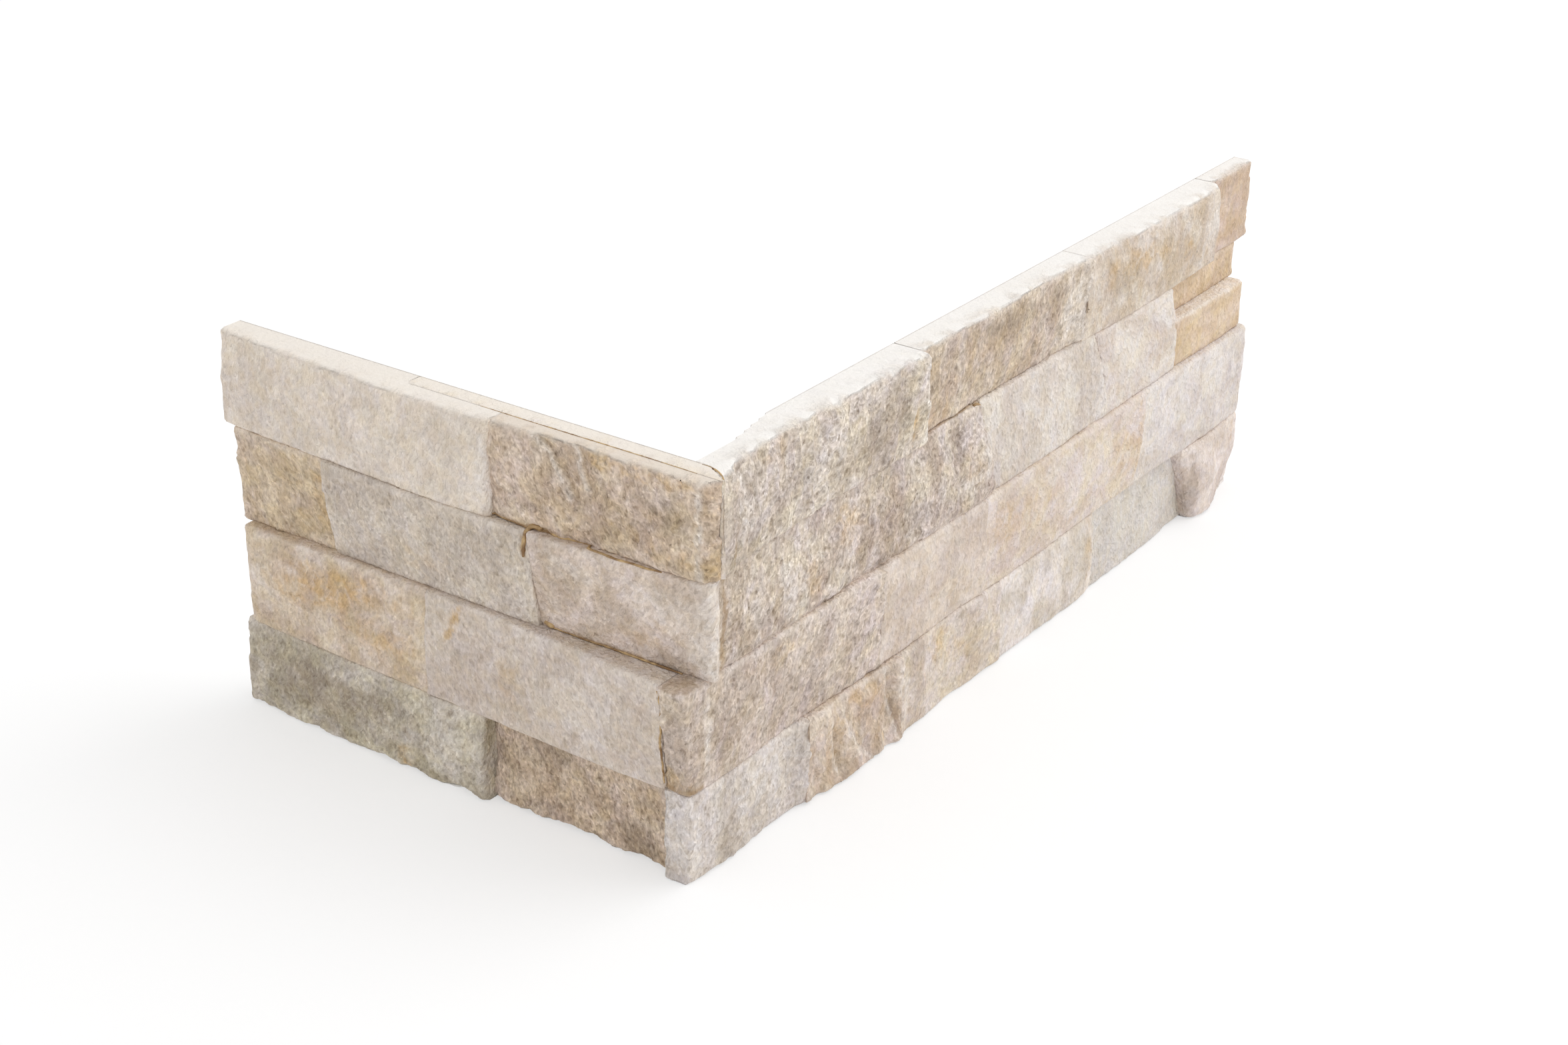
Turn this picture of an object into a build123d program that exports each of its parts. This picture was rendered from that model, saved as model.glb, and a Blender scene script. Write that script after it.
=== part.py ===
from build123d import *
from dataclasses import dataclass
from math import sqrt
import os

os.makedirs("parts", exist_ok=True)


@dataclass(frozen=True)
class Face:
    """How far a split face stands proud of its leg's face plane.

    foot and head hold that distance at even steps along the bottom and the top edge, and belly
    is how much further the face swells half way up.
    """

    foot: tuple
    head: tuple
    belly: float


# Stacked stone corner panel: four courses of split quartzite blocks, glued side by side into an
# L that wraps the outside corner of a wall. Millimetres, +Z up, standing on its bottom bed.
# The origin is the outer corner of the two nominal face planes, on the floor. The long leg runs
# along +X with its split faces towards -Y, the short leg along +Y with its faces towards -X.

# The whole height, and the heights of the courses below the top one, which takes what is left
PANEL_HEIGHT = 150.0
BASE_HEIGHT = 35.5
SECOND_HEIGHT = 41.0
THIRD_HEIGHT = 37.8

# Depth from the nominal face plane to the sawn back, on each leg
LONG_BACK = 13.0
SHORT_BACK = 13.0

# Broken arris along the top and bottom of every split face
ARRIS = 0.9

# Inner corner: the long leg's back is ground in here so that the short leg can butt on it
SEAT_DEPTH = 8.5
SEAT_LENGTH = 20.0
SEAT_RAMP = 25.0

# Corner finger joint of the upper two courses, where the short leg runs through
TONGUE_DEPTH = 7.0
HEEL_SETBACK = 2.0
TOP_TONGUE = 8.0
THIRD_TONGUE = 5.5
TOP_ARRIS_OVERRUN = 4.5
THIRD_ARRIS_OVERRUN = 6.5

# Corner finger joint of the lower two courses, where the long leg runs through
BASE_OVERRUN = 5.5
SECOND_OVERRUN = 6.5
SECOND_END_LEAN = 4.0

# Block lengths along the long leg, counted from the corner outwards
BASE_LONG_CORNER = 67.0
BASE_LONG_RIPPLED = 57.0
BASE_LONG_TAN = 73.5
BASE_LONG_CREAM = 76.0
BASE_LONG_GREY = 86.5
BASE_LONG_END = 49.0
SECOND_LONG_CORNER = 113.0
SECOND_LONG_PINK = 72.0
SECOND_LONG_PEACH = 127.0
SECOND_LONG_END = 100.5
THIRD_LONG_BROWN = 179.5
THIRD_LONG_GREY = 91.0
THIRD_LONG_CREAM = 60.5
LOWER_STRIP_LENGTH = 62.0
UPPER_STRIP_LENGTH = 68.0
TOP_LONG_FLUTED = 129.5
TOP_LONG_TAN = 121.5
TOP_LONG_PALE = 116.5
TOP_LONG_END = 39.0

# Block lengths along the short leg, counted from the corner outwards
BASE_SHORT_TAN = 81.5
BASE_SHORT_END = 121.5
SECOND_SHORT_CREAM = 108.0
SECOND_SHORT_END = 90.5
THIRD_SHORT_CORNER = 73.0
THIRD_SHORT_GREY = 95.5
THIRD_SHORT_END = 48.5
TOP_SHORT_CORNER = 88.5
TOP_SHORT_END = 133.5

# Slanted joints: how far the top of the joint lies nearer the corner than its foot
BASE_END_SLANT = 9.0
SECOND_GREY_SLANT = -7.0
SECOND_TIP_SLANT = -1.0
THIRD_BROWN_SLANT = 5.0
THIRD_GREY_SLANT = 9.0
THIRD_CREAM_SLANT = 4.0
THIRD_CORNER_SLANT = -0.5
THIRD_SHORT_SLANT = -1.5
TOP_PALE_SLANT = 3.0
TOP_TIP_SLANT = 4.5

# The pair of thin strips that fill one course height on the long leg
LOWER_STRIP_HEIGHT = 21.8

# The sawn strip glued behind the thin blocks at the top of the short leg
BACKING_DEPTH = 6.0
BACKING_LENGTH = 128.0

# Rounding of the upright face edges at the ends of the proud blocks
CRISP_EDGE = 1.5
SOFT_EDGE = 3.0
PILLOW_EDGE = 4.0

# Split faces, each read from its start end outwards
BASE_LONG_CORNER_FACE = Face(foot=(1.2, 2.4, 1.6, 2.1), head=(1.6, 3.0, 2.2, 2.7), belly=1.0)
BASE_LONG_RIPPLED_FACE = Face(foot=(3.2, 4.6, 5.6, 5.2, 6.4), head=(4.8, 5.6, 4.9, 5.9, 5.6), belly=-0.6)
BASE_LONG_TAN_FACE = Face(foot=(6.0, 5.0, 4.1, 4.9, 4.4), head=(5.4, 4.4, 3.2, 4.0, 3.8), belly=0.8)
BASE_LONG_CREAM_FACE = Face(foot=(3.8, 4.6, 4.9, 3.7), head=(3.6, 4.4, 4.0, 3.6), belly=1.0)
BASE_LONG_GREY_FACE = Face(foot=(2.6, 3.2, 2.4, 1.4), head=(2.2, 1.2, 0.2, -1.3), belly=0.5)
BASE_LONG_END_FACE = Face(foot=(6.6, 7.0, 4.4, 2.0), head=(3.8, 5.6, 5.0, 3.0), belly=1.4)
BASE_SHORT_TAN_FACE = Face(foot=(4.0, 2.4, 2.8, 2.0), head=(5.0, 2.6, 0.4, -1.4), belly=-0.6)
BASE_SHORT_END_FACE = Face(foot=(6.7, 6.0, 5.4, 4.4), head=(5.6, 4.8, 3.4, 2.0), belly=1.2)
SECOND_LONG_CORNER_FACE = Face(foot=(2.0, 3.2, 2.0, 2.8, 3.2), head=(2.5, 3.4, 4.2, 5.0, 5.4), belly=0.8)
SECOND_LONG_PINK_FACE = Face(foot=(3.0, 3.6, 3.2, 3.6), head=(5.0, 4.8, 4.2, 4.4), belly=1.0)
SECOND_LONG_PEACH_FACE = Face(foot=(3.4, 3.9, 3.3, 3.5), head=(4.2, 4.5, 3.9, 3.3), belly=1.2)
SECOND_LONG_END_FACE = Face(foot=(2.6, 3.6, 4.2, 3.4), head=(2.4, 3.4, 4.0, 3.4), belly=0.6)
SECOND_SHORT_CREAM_FACE = Face(foot=(6.2, 7.0, 6.2, 5.6), head=(7.4, 5.8, 4.2, 3.2), belly=1.0)
SECOND_SHORT_END_FACE = Face(foot=(5.0, 4.6, 4.0, 3.0), head=(2.6, 3.4, 4.4, 3.4), belly=0.6)
THIRD_SHORT_CORNER_FACE = Face(foot=(-3.6, -2.4, -1.8, -1.3), head=(-1.2, 2.0, 4.0, 5.0), belly=0.8)
THIRD_SHORT_GREY_FACE = Face(foot=(0.6, 0.8, 0.4, 0.8), head=(4.0, 5.4, 5.2, 4.6), belly=1.0)
THIRD_SHORT_END_FACE = Face(foot=(-1.0, -0.4, 0.2), head=(2.6, 2.2, 1.2), belly=-0.4)
THIRD_LONG_BROWN_FACE = Face(foot=(2.8, 3.6, 3.2, 4.4, 4.8), head=(3.9, 1.4, 0.2, -0.8, -1.8), belly=1.2)
THIRD_LONG_GREY_FACE = Face(foot=(2.6, 2.9, 2.2, 1.8), head=(-2.4, -1.6, -1.8, -1.4), belly=0.6)
THIRD_LONG_CREAM_FACE = Face(foot=(1.8, 1.6, 1.0), head=(-1.2, -0.4, -0.6), belly=0.8)
LOWER_STRIP_FACE = Face(foot=(0.2, 0.6, 0.0), head=(0.4, 0.9, 0.2), belly=0.6)
UPPER_STRIP_FACE = Face(foot=(-6.0, -5.6, -6.2), head=(-6.4, -6.0, -6.6), belly=0.3)
TOP_SHORT_CORNER_FACE = Face(foot=(-0.7, 0.8, 0.2, 1.8, 1.2), head=(-1.3, -0.4, 0.6, 0.4, 1.6), belly=1.2)
TOP_SHORT_END_FACE = Face(foot=(4.2, 4.4, 3.2, 2.0, 0.4), head=(2.6, 2.6, 1.4, -0.2, -2.2), belly=1.2)
TOP_LONG_FLUTED_FACE = Face(foot=(6.5, 3.4, 2.6, 1.8, 2.2, 1.4), head=(7.4, 1.2, 0.2, 1.0, 1.8, 3.4),
                            belly=0.8)
TOP_LONG_TAN_FACE = Face(foot=(-2.4, -3.4, -3.6, -3.0), head=(-0.8, 0.2, 0.0, -0.2), belly=0.6)
TOP_LONG_PALE_FACE = Face(foot=(-1.6, 0.0, -0.4, -1.4), head=(0.2, 1.2, 1.8, 0.6), belly=1.2)
TOP_LONG_END_FACE = Face(foot=(-5.8, -5.4, -6.0), head=(-4.2, -3.8, -4.4), belly=0.4)

# Levels of the bed joints
BASE_FLOOR = 0.0
SECOND_FLOOR = BASE_FLOOR + BASE_HEIGHT
THIRD_FLOOR = SECOND_FLOOR + SECOND_HEIGHT
TOP_FLOOR = THIRD_FLOOR + THIRD_HEIGHT
TOP_HEIGHT = PANEL_HEIGHT - TOP_FLOOR
UPPER_STRIP_HEIGHT = THIRD_HEIGHT - LOWER_STRIP_HEIGHT


@dataclass(frozen=True)
class Leg:
    """One leg of the L: how a place along it and a distance behind its face plane map to X and Y."""

    back: float
    along_x: bool

    def point(self, along, behind):
        return (along, behind) if self.along_x else (behind, along)


LONG = Leg(back=LONG_BACK, along_x=True)
SHORT = Leg(back=SHORT_BACK, along_x=False)


@dataclass(frozen=True)
class Course:
    """A height range of the panel."""

    floor: float
    height: float


BASE = Course(BASE_FLOOR, BASE_HEIGHT)
SECOND = Course(SECOND_FLOOR, SECOND_HEIGHT)
THIRD = Course(THIRD_FLOOR, THIRD_HEIGHT)
TOP = Course(TOP_FLOOR, TOP_HEIGHT)
LOWER_STRIP = Course(THIRD_FLOOR, LOWER_STRIP_HEIGHT)
UPPER_STRIP = Course(THIRD_FLOOR + LOWER_STRIP_HEIGHT, UPPER_STRIP_HEIGHT)


@dataclass(frozen=True)
class Joint:
    """An upright joint between two blocks, at a place along the leg, and how far it slants."""

    foot: float
    slant: float = 0.0

    def at(self, share):
        return self.foot - self.slant * share


def mix(low, high, share):
    """The value that lies at a share of the way from low to high."""
    return low + (high - low) * share


def square_start(leg, joint, share, proud):
    """Plan points of a plain start end, from the face to the back."""
    along = joint.at(share)
    return [leg.point(along, -proud), leg.point(along, leg.back)]


def heel_start(tongue):
    """Plan points of a long-leg block that butts on a tongue of the short leg."""

    def points(leg, joint, share, proud):
        reach = (HEEL_SETBACK + proud) / (HEEL_SETBACK + tongue)
        nose = mix(SHORT_BACK, TONGUE_DEPTH, reach)
        return [
            leg.point(nose, -proud),
            leg.point(SHORT_BACK, HEEL_SETBACK),
            leg.point(SHORT_BACK, SEAT_DEPTH),
            leg.point(SHORT_BACK + SEAT_LENGTH, SEAT_DEPTH),
            leg.point(SHORT_BACK + SEAT_LENGTH + SEAT_RAMP, leg.back),
        ]

    return points


def tongue_start(tongue, overrun, depth):
    """Plan points of a short-leg block whose end shows at the corner, down to a given depth."""

    def points(leg, joint, share, proud):
        ends = [leg.point(-overrun, -proud)]
        if depth < TONGUE_DEPTH:
            ends.append(leg.point(-mix(overrun, tongue, depth / TONGUE_DEPTH), depth))
        else:
            ends.append(leg.point(-tongue, TONGUE_DEPTH))
            ends.append(leg.point(HEEL_SETBACK, leg.back))
        return ends

    return points


def through_start(leg, joint, share, proud):
    """Plan points of a long-leg block whose end shows at the corner, ground in behind."""
    along = joint.at(share)
    return [
        leg.point(along, -proud),
        leg.point(along, SEAT_DEPTH),
        leg.point(SHORT_BACK + SEAT_LENGTH, SEAT_DEPTH),
        leg.point(SHORT_BACK + SEAT_LENGTH + SEAT_RAMP, leg.back),
    ]


def edge_arc(leg, along, proud, radius, outward):
    """Draw the quarter round from a face's end back to the joint, and return where it ends."""
    centre = along - outward * radius
    slope = radius * sqrt(0.5)
    crown = leg.point(centre, -proud)
    shoulder = leg.point(centre + outward * slope, radius - proud - slope)
    foot = leg.point(along, radius - proud)
    ThreePointArc(crown, shoulder, foot)
    return foot


def outline(leg, near, far, relief, ends, depth, round_start, round_end):
    """Draw a block's plan outline: the split face, its rounded ends, the joints and the back."""
    first = ends[0]
    begin = near
    if round_start:
        first = edge_arc(leg, near, relief[0], round_start, -1)
        begin = near + round_start
    stop = far - round_end
    steps = len(relief) - 1
    ridge = [leg.point(begin, -relief[0]) if round_start else first]
    for index in range(1, steps + 1):
        ridge.append(leg.point(mix(begin, stop, index / steps), -relief[index]))
    Spline(*ridge)
    last = ridge[-1]
    if round_end:
        last = edge_arc(leg, far, relief[-1], round_end, 1)
    Polyline(last, leg.point(far, depth), *reversed(ends[1:]), first)


def split_block(label, leg, course, start, end, face, start_points=square_start, back=None,
                round_start=0.0, round_end=0.0, rebate=None):
    """Loft one block through level plan outlines, so that its face follows the split relief.

    The face is drawn back at both beds to break its arrises. A rebate is a length and a depth
    from the face plane that a backing strip takes out of the back.
    """
    depth = leg.back if back is None else back
    levels = [
        (0.0, -ARRIS),
        (ARRIS, 0.0),
        (course.height / 2, face.belly),
        (course.height - ARRIS, 0.0),
        (course.height, -ARRIS),
    ]
    with BuildPart() as block:
        for rise, swell in levels:
            share = rise / course.height
            relief = [mix(low, high, share) + swell for low, high in zip(face.foot, face.head)]
            ends = start_points(leg, start, share, relief[0])
            with BuildSketch(Plane.XY.offset(course.floor + rise)):
                with BuildLine():
                    outline(leg, start.at(share), end.at(share), relief, ends, depth,
                            round_start, round_end)
                make_face()
        loft(ruled=True)
        if rebate:
            reach, front = rebate
            with BuildSketch(Plane.XY.offset(course.floor)):
                with BuildLine():
                    Polyline(leg.point(start.foot, front), leg.point(reach, front),
                             leg.point(reach, leg.back), leg.point(start.foot, leg.back), close=True)
                make_face()
            extrude(amount=course.height, mode=Mode.SUBTRACT)
    block.part.label = label
    export_step(block.part, f"parts/{label}.step")


# Base course, long leg: its corner block runs through, so that its end shows at the corner
base_start = Joint(-BASE_OVERRUN)
base_rippled_start = Joint(base_start.foot + BASE_LONG_CORNER)
base_tan_start = Joint(base_rippled_start.foot + BASE_LONG_RIPPLED)
base_cream_start = Joint(base_tan_start.foot + BASE_LONG_TAN)
base_grey_start = Joint(base_cream_start.foot + BASE_LONG_CREAM)
base_end_start = Joint(base_grey_start.foot + BASE_LONG_GREY, BASE_END_SLANT)
base_long_tip = Joint(base_end_start.foot + BASE_LONG_END)

split_block("base_long_corner_block", LONG, BASE, base_start, base_rippled_start,
            BASE_LONG_CORNER_FACE, start_points=through_start)
split_block("base_long_rippled_block", LONG, BASE, base_rippled_start, base_tan_start,
            BASE_LONG_RIPPLED_FACE)
split_block("base_long_tan_block", LONG, BASE, base_tan_start, base_cream_start,
            BASE_LONG_TAN_FACE)
split_block("base_long_cream_block", LONG, BASE, base_cream_start, base_grey_start,
            BASE_LONG_CREAM_FACE)
split_block("base_long_grey_block", LONG, BASE, base_grey_start, base_end_start,
            BASE_LONG_GREY_FACE)
split_block("base_long_end_block", LONG, BASE, base_end_start, base_long_tip,
            BASE_LONG_END_FACE, round_start=PILLOW_EDGE, round_end=PILLOW_EDGE)

# Base course, short leg: it butts on the back of the corner block
short_seat = Joint(SEAT_DEPTH)
base_short_joint = Joint(short_seat.foot + BASE_SHORT_TAN)
base_short_tip = Joint(base_short_joint.foot + BASE_SHORT_END)

split_block("base_short_tan_block", SHORT, BASE, short_seat, base_short_joint,
            BASE_SHORT_TAN_FACE)
split_block("base_short_end_block", SHORT, BASE, base_short_joint, base_short_tip,
            BASE_SHORT_END_FACE, round_start=CRISP_EDGE)

# Second course, long leg: runs through at the corner like the base course
second_start = Joint(SECOND_END_LEAN / 2 - SECOND_OVERRUN, SECOND_END_LEAN)
second_pink_start = Joint(SECOND_LONG_CORNER - SECOND_OVERRUN)
second_peach_start = Joint(second_pink_start.foot + SECOND_LONG_PINK)
second_end_start = Joint(second_peach_start.foot + SECOND_LONG_PEACH + SECOND_GREY_SLANT / 2,
                         SECOND_GREY_SLANT)
second_long_tip = Joint(second_end_start.foot + SECOND_LONG_END, SECOND_TIP_SLANT)

split_block("second_long_corner_block", LONG, SECOND, second_start, second_pink_start,
            SECOND_LONG_CORNER_FACE, start_points=through_start)
split_block("second_long_pink_block", LONG, SECOND, second_pink_start, second_peach_start,
            SECOND_LONG_PINK_FACE)
split_block("second_long_peach_block", LONG, SECOND, second_peach_start, second_end_start,
            SECOND_LONG_PEACH_FACE)
split_block("second_long_end_block", LONG, SECOND, second_end_start, second_long_tip,
            SECOND_LONG_END_FACE, round_end=SOFT_EDGE)

# Second course, short leg
second_short_joint = Joint(short_seat.foot + SECOND_SHORT_CREAM)
second_short_tip = Joint(second_short_joint.foot + SECOND_SHORT_END)

split_block("second_short_cream_block", SHORT, SECOND, short_seat, second_short_joint,
            SECOND_SHORT_CREAM_FACE)
split_block("second_short_end_block", SHORT, SECOND, second_short_joint, second_short_tip,
            SECOND_SHORT_END_FACE)

# Third course, short leg: its corner block runs through, so that its end shows at the corner
third_short_start = Joint(-THIRD_ARRIS_OVERRUN)
third_short_grey_start = Joint(THIRD_SHORT_CORNER - THIRD_ARRIS_OVERRUN, THIRD_CORNER_SLANT)
third_short_end_start = Joint(third_short_grey_start.foot + THIRD_SHORT_GREY, THIRD_SHORT_SLANT)
third_short_tip = Joint(third_short_end_start.foot + THIRD_SHORT_END)

split_block("third_short_corner_block", SHORT, THIRD, third_short_start, third_short_grey_start,
            THIRD_SHORT_CORNER_FACE, start_points=tongue_start(THIRD_TONGUE, THIRD_ARRIS_OVERRUN, SHORT_BACK))
split_block("third_short_grey_block", SHORT, THIRD, third_short_grey_start, third_short_end_start,
            THIRD_SHORT_GREY_FACE)
split_block("third_short_end_block", SHORT, THIRD, third_short_end_start, third_short_tip,
            THIRD_SHORT_END_FACE)

# Third course, long leg: it butts on the tongue of the short leg
third_start = Joint(TONGUE_DEPTH)
third_grey_start = Joint(TONGUE_DEPTH + THIRD_LONG_BROWN, THIRD_BROWN_SLANT)
third_cream_start = Joint(third_grey_start.foot + THIRD_LONG_GREY, THIRD_GREY_SLANT)
third_strips_start = Joint(third_cream_start.foot + THIRD_LONG_CREAM, THIRD_CREAM_SLANT)
lower_strip_tip = Joint(third_strips_start.foot + LOWER_STRIP_LENGTH)
strips_middle_start = Joint(third_strips_start.at(LOWER_STRIP_HEIGHT / THIRD_HEIGHT),
                            THIRD_CREAM_SLANT * (1 - LOWER_STRIP_HEIGHT / THIRD_HEIGHT))
strips_lower_start = Joint(third_strips_start.foot, THIRD_CREAM_SLANT * LOWER_STRIP_HEIGHT / THIRD_HEIGHT)
upper_strip_tip = Joint(strips_middle_start.foot + UPPER_STRIP_LENGTH)

split_block("third_long_brown_block", LONG, THIRD, third_start, third_grey_start,
            THIRD_LONG_BROWN_FACE, start_points=heel_start(THIRD_TONGUE), round_end=SOFT_EDGE)
split_block("third_long_grey_block", LONG, THIRD, third_grey_start, third_cream_start,
            THIRD_LONG_GREY_FACE)
split_block("third_long_cream_block", LONG, THIRD, third_cream_start, third_strips_start,
            THIRD_LONG_CREAM_FACE)
split_block("third_long_lower_strip", LONG, LOWER_STRIP, strips_lower_start, lower_strip_tip,
            LOWER_STRIP_FACE, round_start=SOFT_EDGE)
split_block("third_long_upper_strip", LONG, UPPER_STRIP, strips_middle_start, upper_strip_tip,
            UPPER_STRIP_FACE)

# Top course, short leg: a thin block at the corner, glued on a sawn backing strip that reaches
# behind part of the end block too
top_short_start = Joint(-TOP_ARRIS_OVERRUN)
top_short_joint = Joint(TOP_SHORT_CORNER - TOP_ARRIS_OVERRUN)
top_short_tip = Joint(top_short_joint.foot + TOP_SHORT_END)

split_block("top_short_corner_block", SHORT, TOP, top_short_start, top_short_joint,
            TOP_SHORT_CORNER_FACE, start_points=tongue_start(TOP_TONGUE, TOP_ARRIS_OVERRUN, BACKING_DEPTH),
            back=BACKING_DEPTH)
split_block("top_short_end_block", SHORT, TOP, top_short_joint, top_short_tip,
            TOP_SHORT_END_FACE, round_start=SOFT_EDGE, round_end=SOFT_EDGE,
            rebate=(BACKING_LENGTH, BACKING_DEPTH))

with BuildPart() as top_short_backing_strip:
    with BuildSketch(Plane.XY.offset(TOP_FLOOR)):
        with BuildLine():
            Polyline(
                SHORT.point(-mix(TOP_ARRIS_OVERRUN, TOP_TONGUE, BACKING_DEPTH / TONGUE_DEPTH), BACKING_DEPTH),
                SHORT.point(-TOP_TONGUE, TONGUE_DEPTH),
                SHORT.point(HEEL_SETBACK, SHORT_BACK),
                SHORT.point(BACKING_LENGTH, SHORT_BACK),
                SHORT.point(BACKING_LENGTH, BACKING_DEPTH),
                close=True,
            )
        make_face()
    extrude(amount=TOP_HEIGHT)
top_short_backing_strip.part.label = "top_short_backing_strip"
export_step(top_short_backing_strip.part, "parts/top_short_backing_strip.step")

# Top course, long leg
top_start = Joint(TONGUE_DEPTH)
top_tan_start = Joint(TONGUE_DEPTH + TOP_LONG_FLUTED)
top_pale_start = Joint(top_tan_start.foot + TOP_LONG_TAN)
top_end_start = Joint(top_pale_start.foot + TOP_LONG_PALE, TOP_PALE_SLANT)
top_long_tip = Joint(top_end_start.foot + TOP_LONG_END, TOP_TIP_SLANT)

split_block("top_long_fluted_block", LONG, TOP, top_start, top_tan_start,
            TOP_LONG_FLUTED_FACE, start_points=heel_start(TOP_TONGUE), round_end=SOFT_EDGE)
split_block("top_long_tan_block", LONG, TOP, top_tan_start, top_pale_start,
            TOP_LONG_TAN_FACE)
split_block("top_long_pale_block", LONG, TOP, top_pale_start, top_end_start,
            TOP_LONG_PALE_FACE, round_end=SOFT_EDGE)
split_block("top_long_end_block", LONG, TOP, top_end_start, top_long_tip,
            TOP_LONG_END_FACE)
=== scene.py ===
"""Looks of the stacked stone corner panel: split quartzite blocks glued in four courses.

Each block is a finely remeshed copy of its CAD solid. Its split faces get the relief of broken
stone, its arrises are chipped, and its stains are painted into named attributes that the stone's
own procedural finish reads, together with painted highlight on arrises and chip crests and
painted shade in chip lees and a few joints. Lengths are in millimetres until they reach Blender.
"""

from __future__ import annotations

import logging
import math
from dataclasses import dataclass, replace
from enum import Enum
from functools import partial
from itertools import product

import bmesh
import bpy
import numpy as np
from mathutils import Matrix, Vector

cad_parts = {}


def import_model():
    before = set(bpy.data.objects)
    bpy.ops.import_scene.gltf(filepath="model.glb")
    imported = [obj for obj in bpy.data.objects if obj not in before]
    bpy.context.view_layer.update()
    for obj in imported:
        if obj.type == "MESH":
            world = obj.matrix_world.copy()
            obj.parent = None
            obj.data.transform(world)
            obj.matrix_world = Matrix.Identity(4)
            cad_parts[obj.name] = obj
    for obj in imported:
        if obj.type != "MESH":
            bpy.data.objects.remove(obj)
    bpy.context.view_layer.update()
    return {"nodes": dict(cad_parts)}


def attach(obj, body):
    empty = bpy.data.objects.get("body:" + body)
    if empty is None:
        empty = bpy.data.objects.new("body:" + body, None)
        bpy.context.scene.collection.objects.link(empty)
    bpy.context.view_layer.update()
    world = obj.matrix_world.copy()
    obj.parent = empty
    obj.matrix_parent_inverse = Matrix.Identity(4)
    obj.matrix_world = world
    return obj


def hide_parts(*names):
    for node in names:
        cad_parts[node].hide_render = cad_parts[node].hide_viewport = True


log = logging.getLogger("stone_panel")

Colour = tuple[float, float, float]
Array = np.ndarray

MM = 0.001
BODY = "root"

# The photograph's camera: where it stands, where it looks and its lens
PHOTO_WIDTH = 2352
CAMERA_PLACE_MM = (-564.8245, -436.417, 483.0598)
CAMERA_AZIMUTH = math.radians(-54.6755)
CAMERA_ELEVATION = math.radians(25.9629)
CAMERA_ROLL = math.radians(0.4404)
CAMERA_FOCAL_PIXELS = 3735.0793
SENSOR_WIDTH = 36.0

# Remeshing of the blocks
MERGE_DISTANCE = 0.00001
VOXEL = 0.001
SHARP_ANGLE = math.radians(50.0)

# Levels of the bed joints, from the floor up
BEDS = (0.0, 35.5, 76.5, 114.3, 150.0)


def linear(red: float, green: float, blue: float) -> Colour:
    """Turn a screen colour of 0 to 255 into the linear colour that shaders take.

    Args:
        red: Red as a screen shows it.
        green: Green as a screen shows it.
        blue: Blue as a screen shows it.

    Returns:
        The three linear values, from 0 to 1.
    """
    return tuple((value / 255.0) ** 2.2 for value in (red, green, blue))


def ease(values: Array, low: float, high: float) -> Array:
    """Rise smoothly from 0 at low to 1 at high.

    Args:
        values: The values to map.
        low: Where the rise starts.
        high: Where it ends.

    Returns:
        The mapped values, from 0 to 1.
    """
    share = np.clip((values - low) / (high - low), 0.0, 1.0)
    return share * share * (3.0 - 2.0 * share)


class Grit:
    """Seeded solid noise, worked out for many points at once."""

    TABLE = 8192
    PRIMES = (73856093, 19349663, 83492791)

    def __init__(self, seed: int) -> None:
        """Fill the tables.

        Args:
            seed: The stone's own number.
        """
        chance = np.random.default_rng(seed)
        slopes = chance.normal(size=(self.TABLE, 3))
        self.slopes = slopes / np.linalg.norm(slopes, axis=1, keepdims=True)
        self.jitter = chance.random((self.TABLE, 3))
        self.shift = chance.random(3) * 500.0

    def _key(self, cell: Array) -> Array:
        """Return the table row of each lattice cell."""
        x, y, z = (cell[:, axis] * prime for axis, prime in enumerate(self.PRIMES))
        return (x ^ y ^ z) & (self.TABLE - 1)

    def wave(self, points: Array) -> Array:
        """Return gradient noise, about -0.7 to 0.7, with features one unit across.

        Args:
            points: The points, three numbers each.

        Returns:
            One value for each point.
        """
        place = points + self.shift
        cell = np.floor(place).astype(np.int64)
        inside = place - cell
        fade = inside**3 * (inside * (inside * 6.0 - 15.0) + 10.0)
        total = np.zeros(len(points))
        for corner in product((0, 1), repeat=3):
            step = np.array(corner)
            slope = self.slopes[self._key(cell + step)]
            height = np.einsum("ij,ij->i", slope, inside - step)
            share = np.prod(np.where(step, fade, 1.0 - fade), axis=1)
            total += height * share
        return total

    def rough(self, points: Array, octaves: int, crest: bool = False) -> Array:
        """Add finer and finer noise, each octave half as deep.

        Args:
            points: The points, scaled so that the largest features are one unit across.
            octaves: How many scales are added.
            crest: Fold the noise, which gives sharp crests.

        Returns:
            One value for each point, about -1 to 1.
        """
        total = np.zeros(len(points))
        depth = 1.0
        for octave in range(octaves):
            layer = self.wave(points * 2.0**octave + 17.3 * octave) * 1.5
            total += depth * ((0.45 - np.abs(layer)) * 2.0 if crest else layer)
            depth *= 0.5
        return total

    def facets(self, points: Array) -> Array:
        """Return a field of small tilted planes, one to each cell of a random mosaic.

        Args:
            points: The points, scaled so that the facets are about one unit across.

        Returns:
            One value for each point, about -1 to 1.
        """
        place = points + self.shift
        cell = np.floor(place).astype(np.int64)
        nearest = np.full(len(points), np.inf)
        level = np.zeros(len(points))
        for corner in product((-1, 0, 1), repeat=3):
            around = cell + np.array(corner)
            key = self._key(around)
            offset = place - (around + self.jitter[key])
            distance = np.einsum("ij,ij->i", offset, offset)
            plane = np.einsum("ij,ij->i", offset, self.slopes[key]) + self.jitter[key, 0] - 0.5
            closer = distance < nearest
            nearest = np.where(closer, distance, nearest)
            level = np.where(closer, plane, level)
        return level


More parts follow.
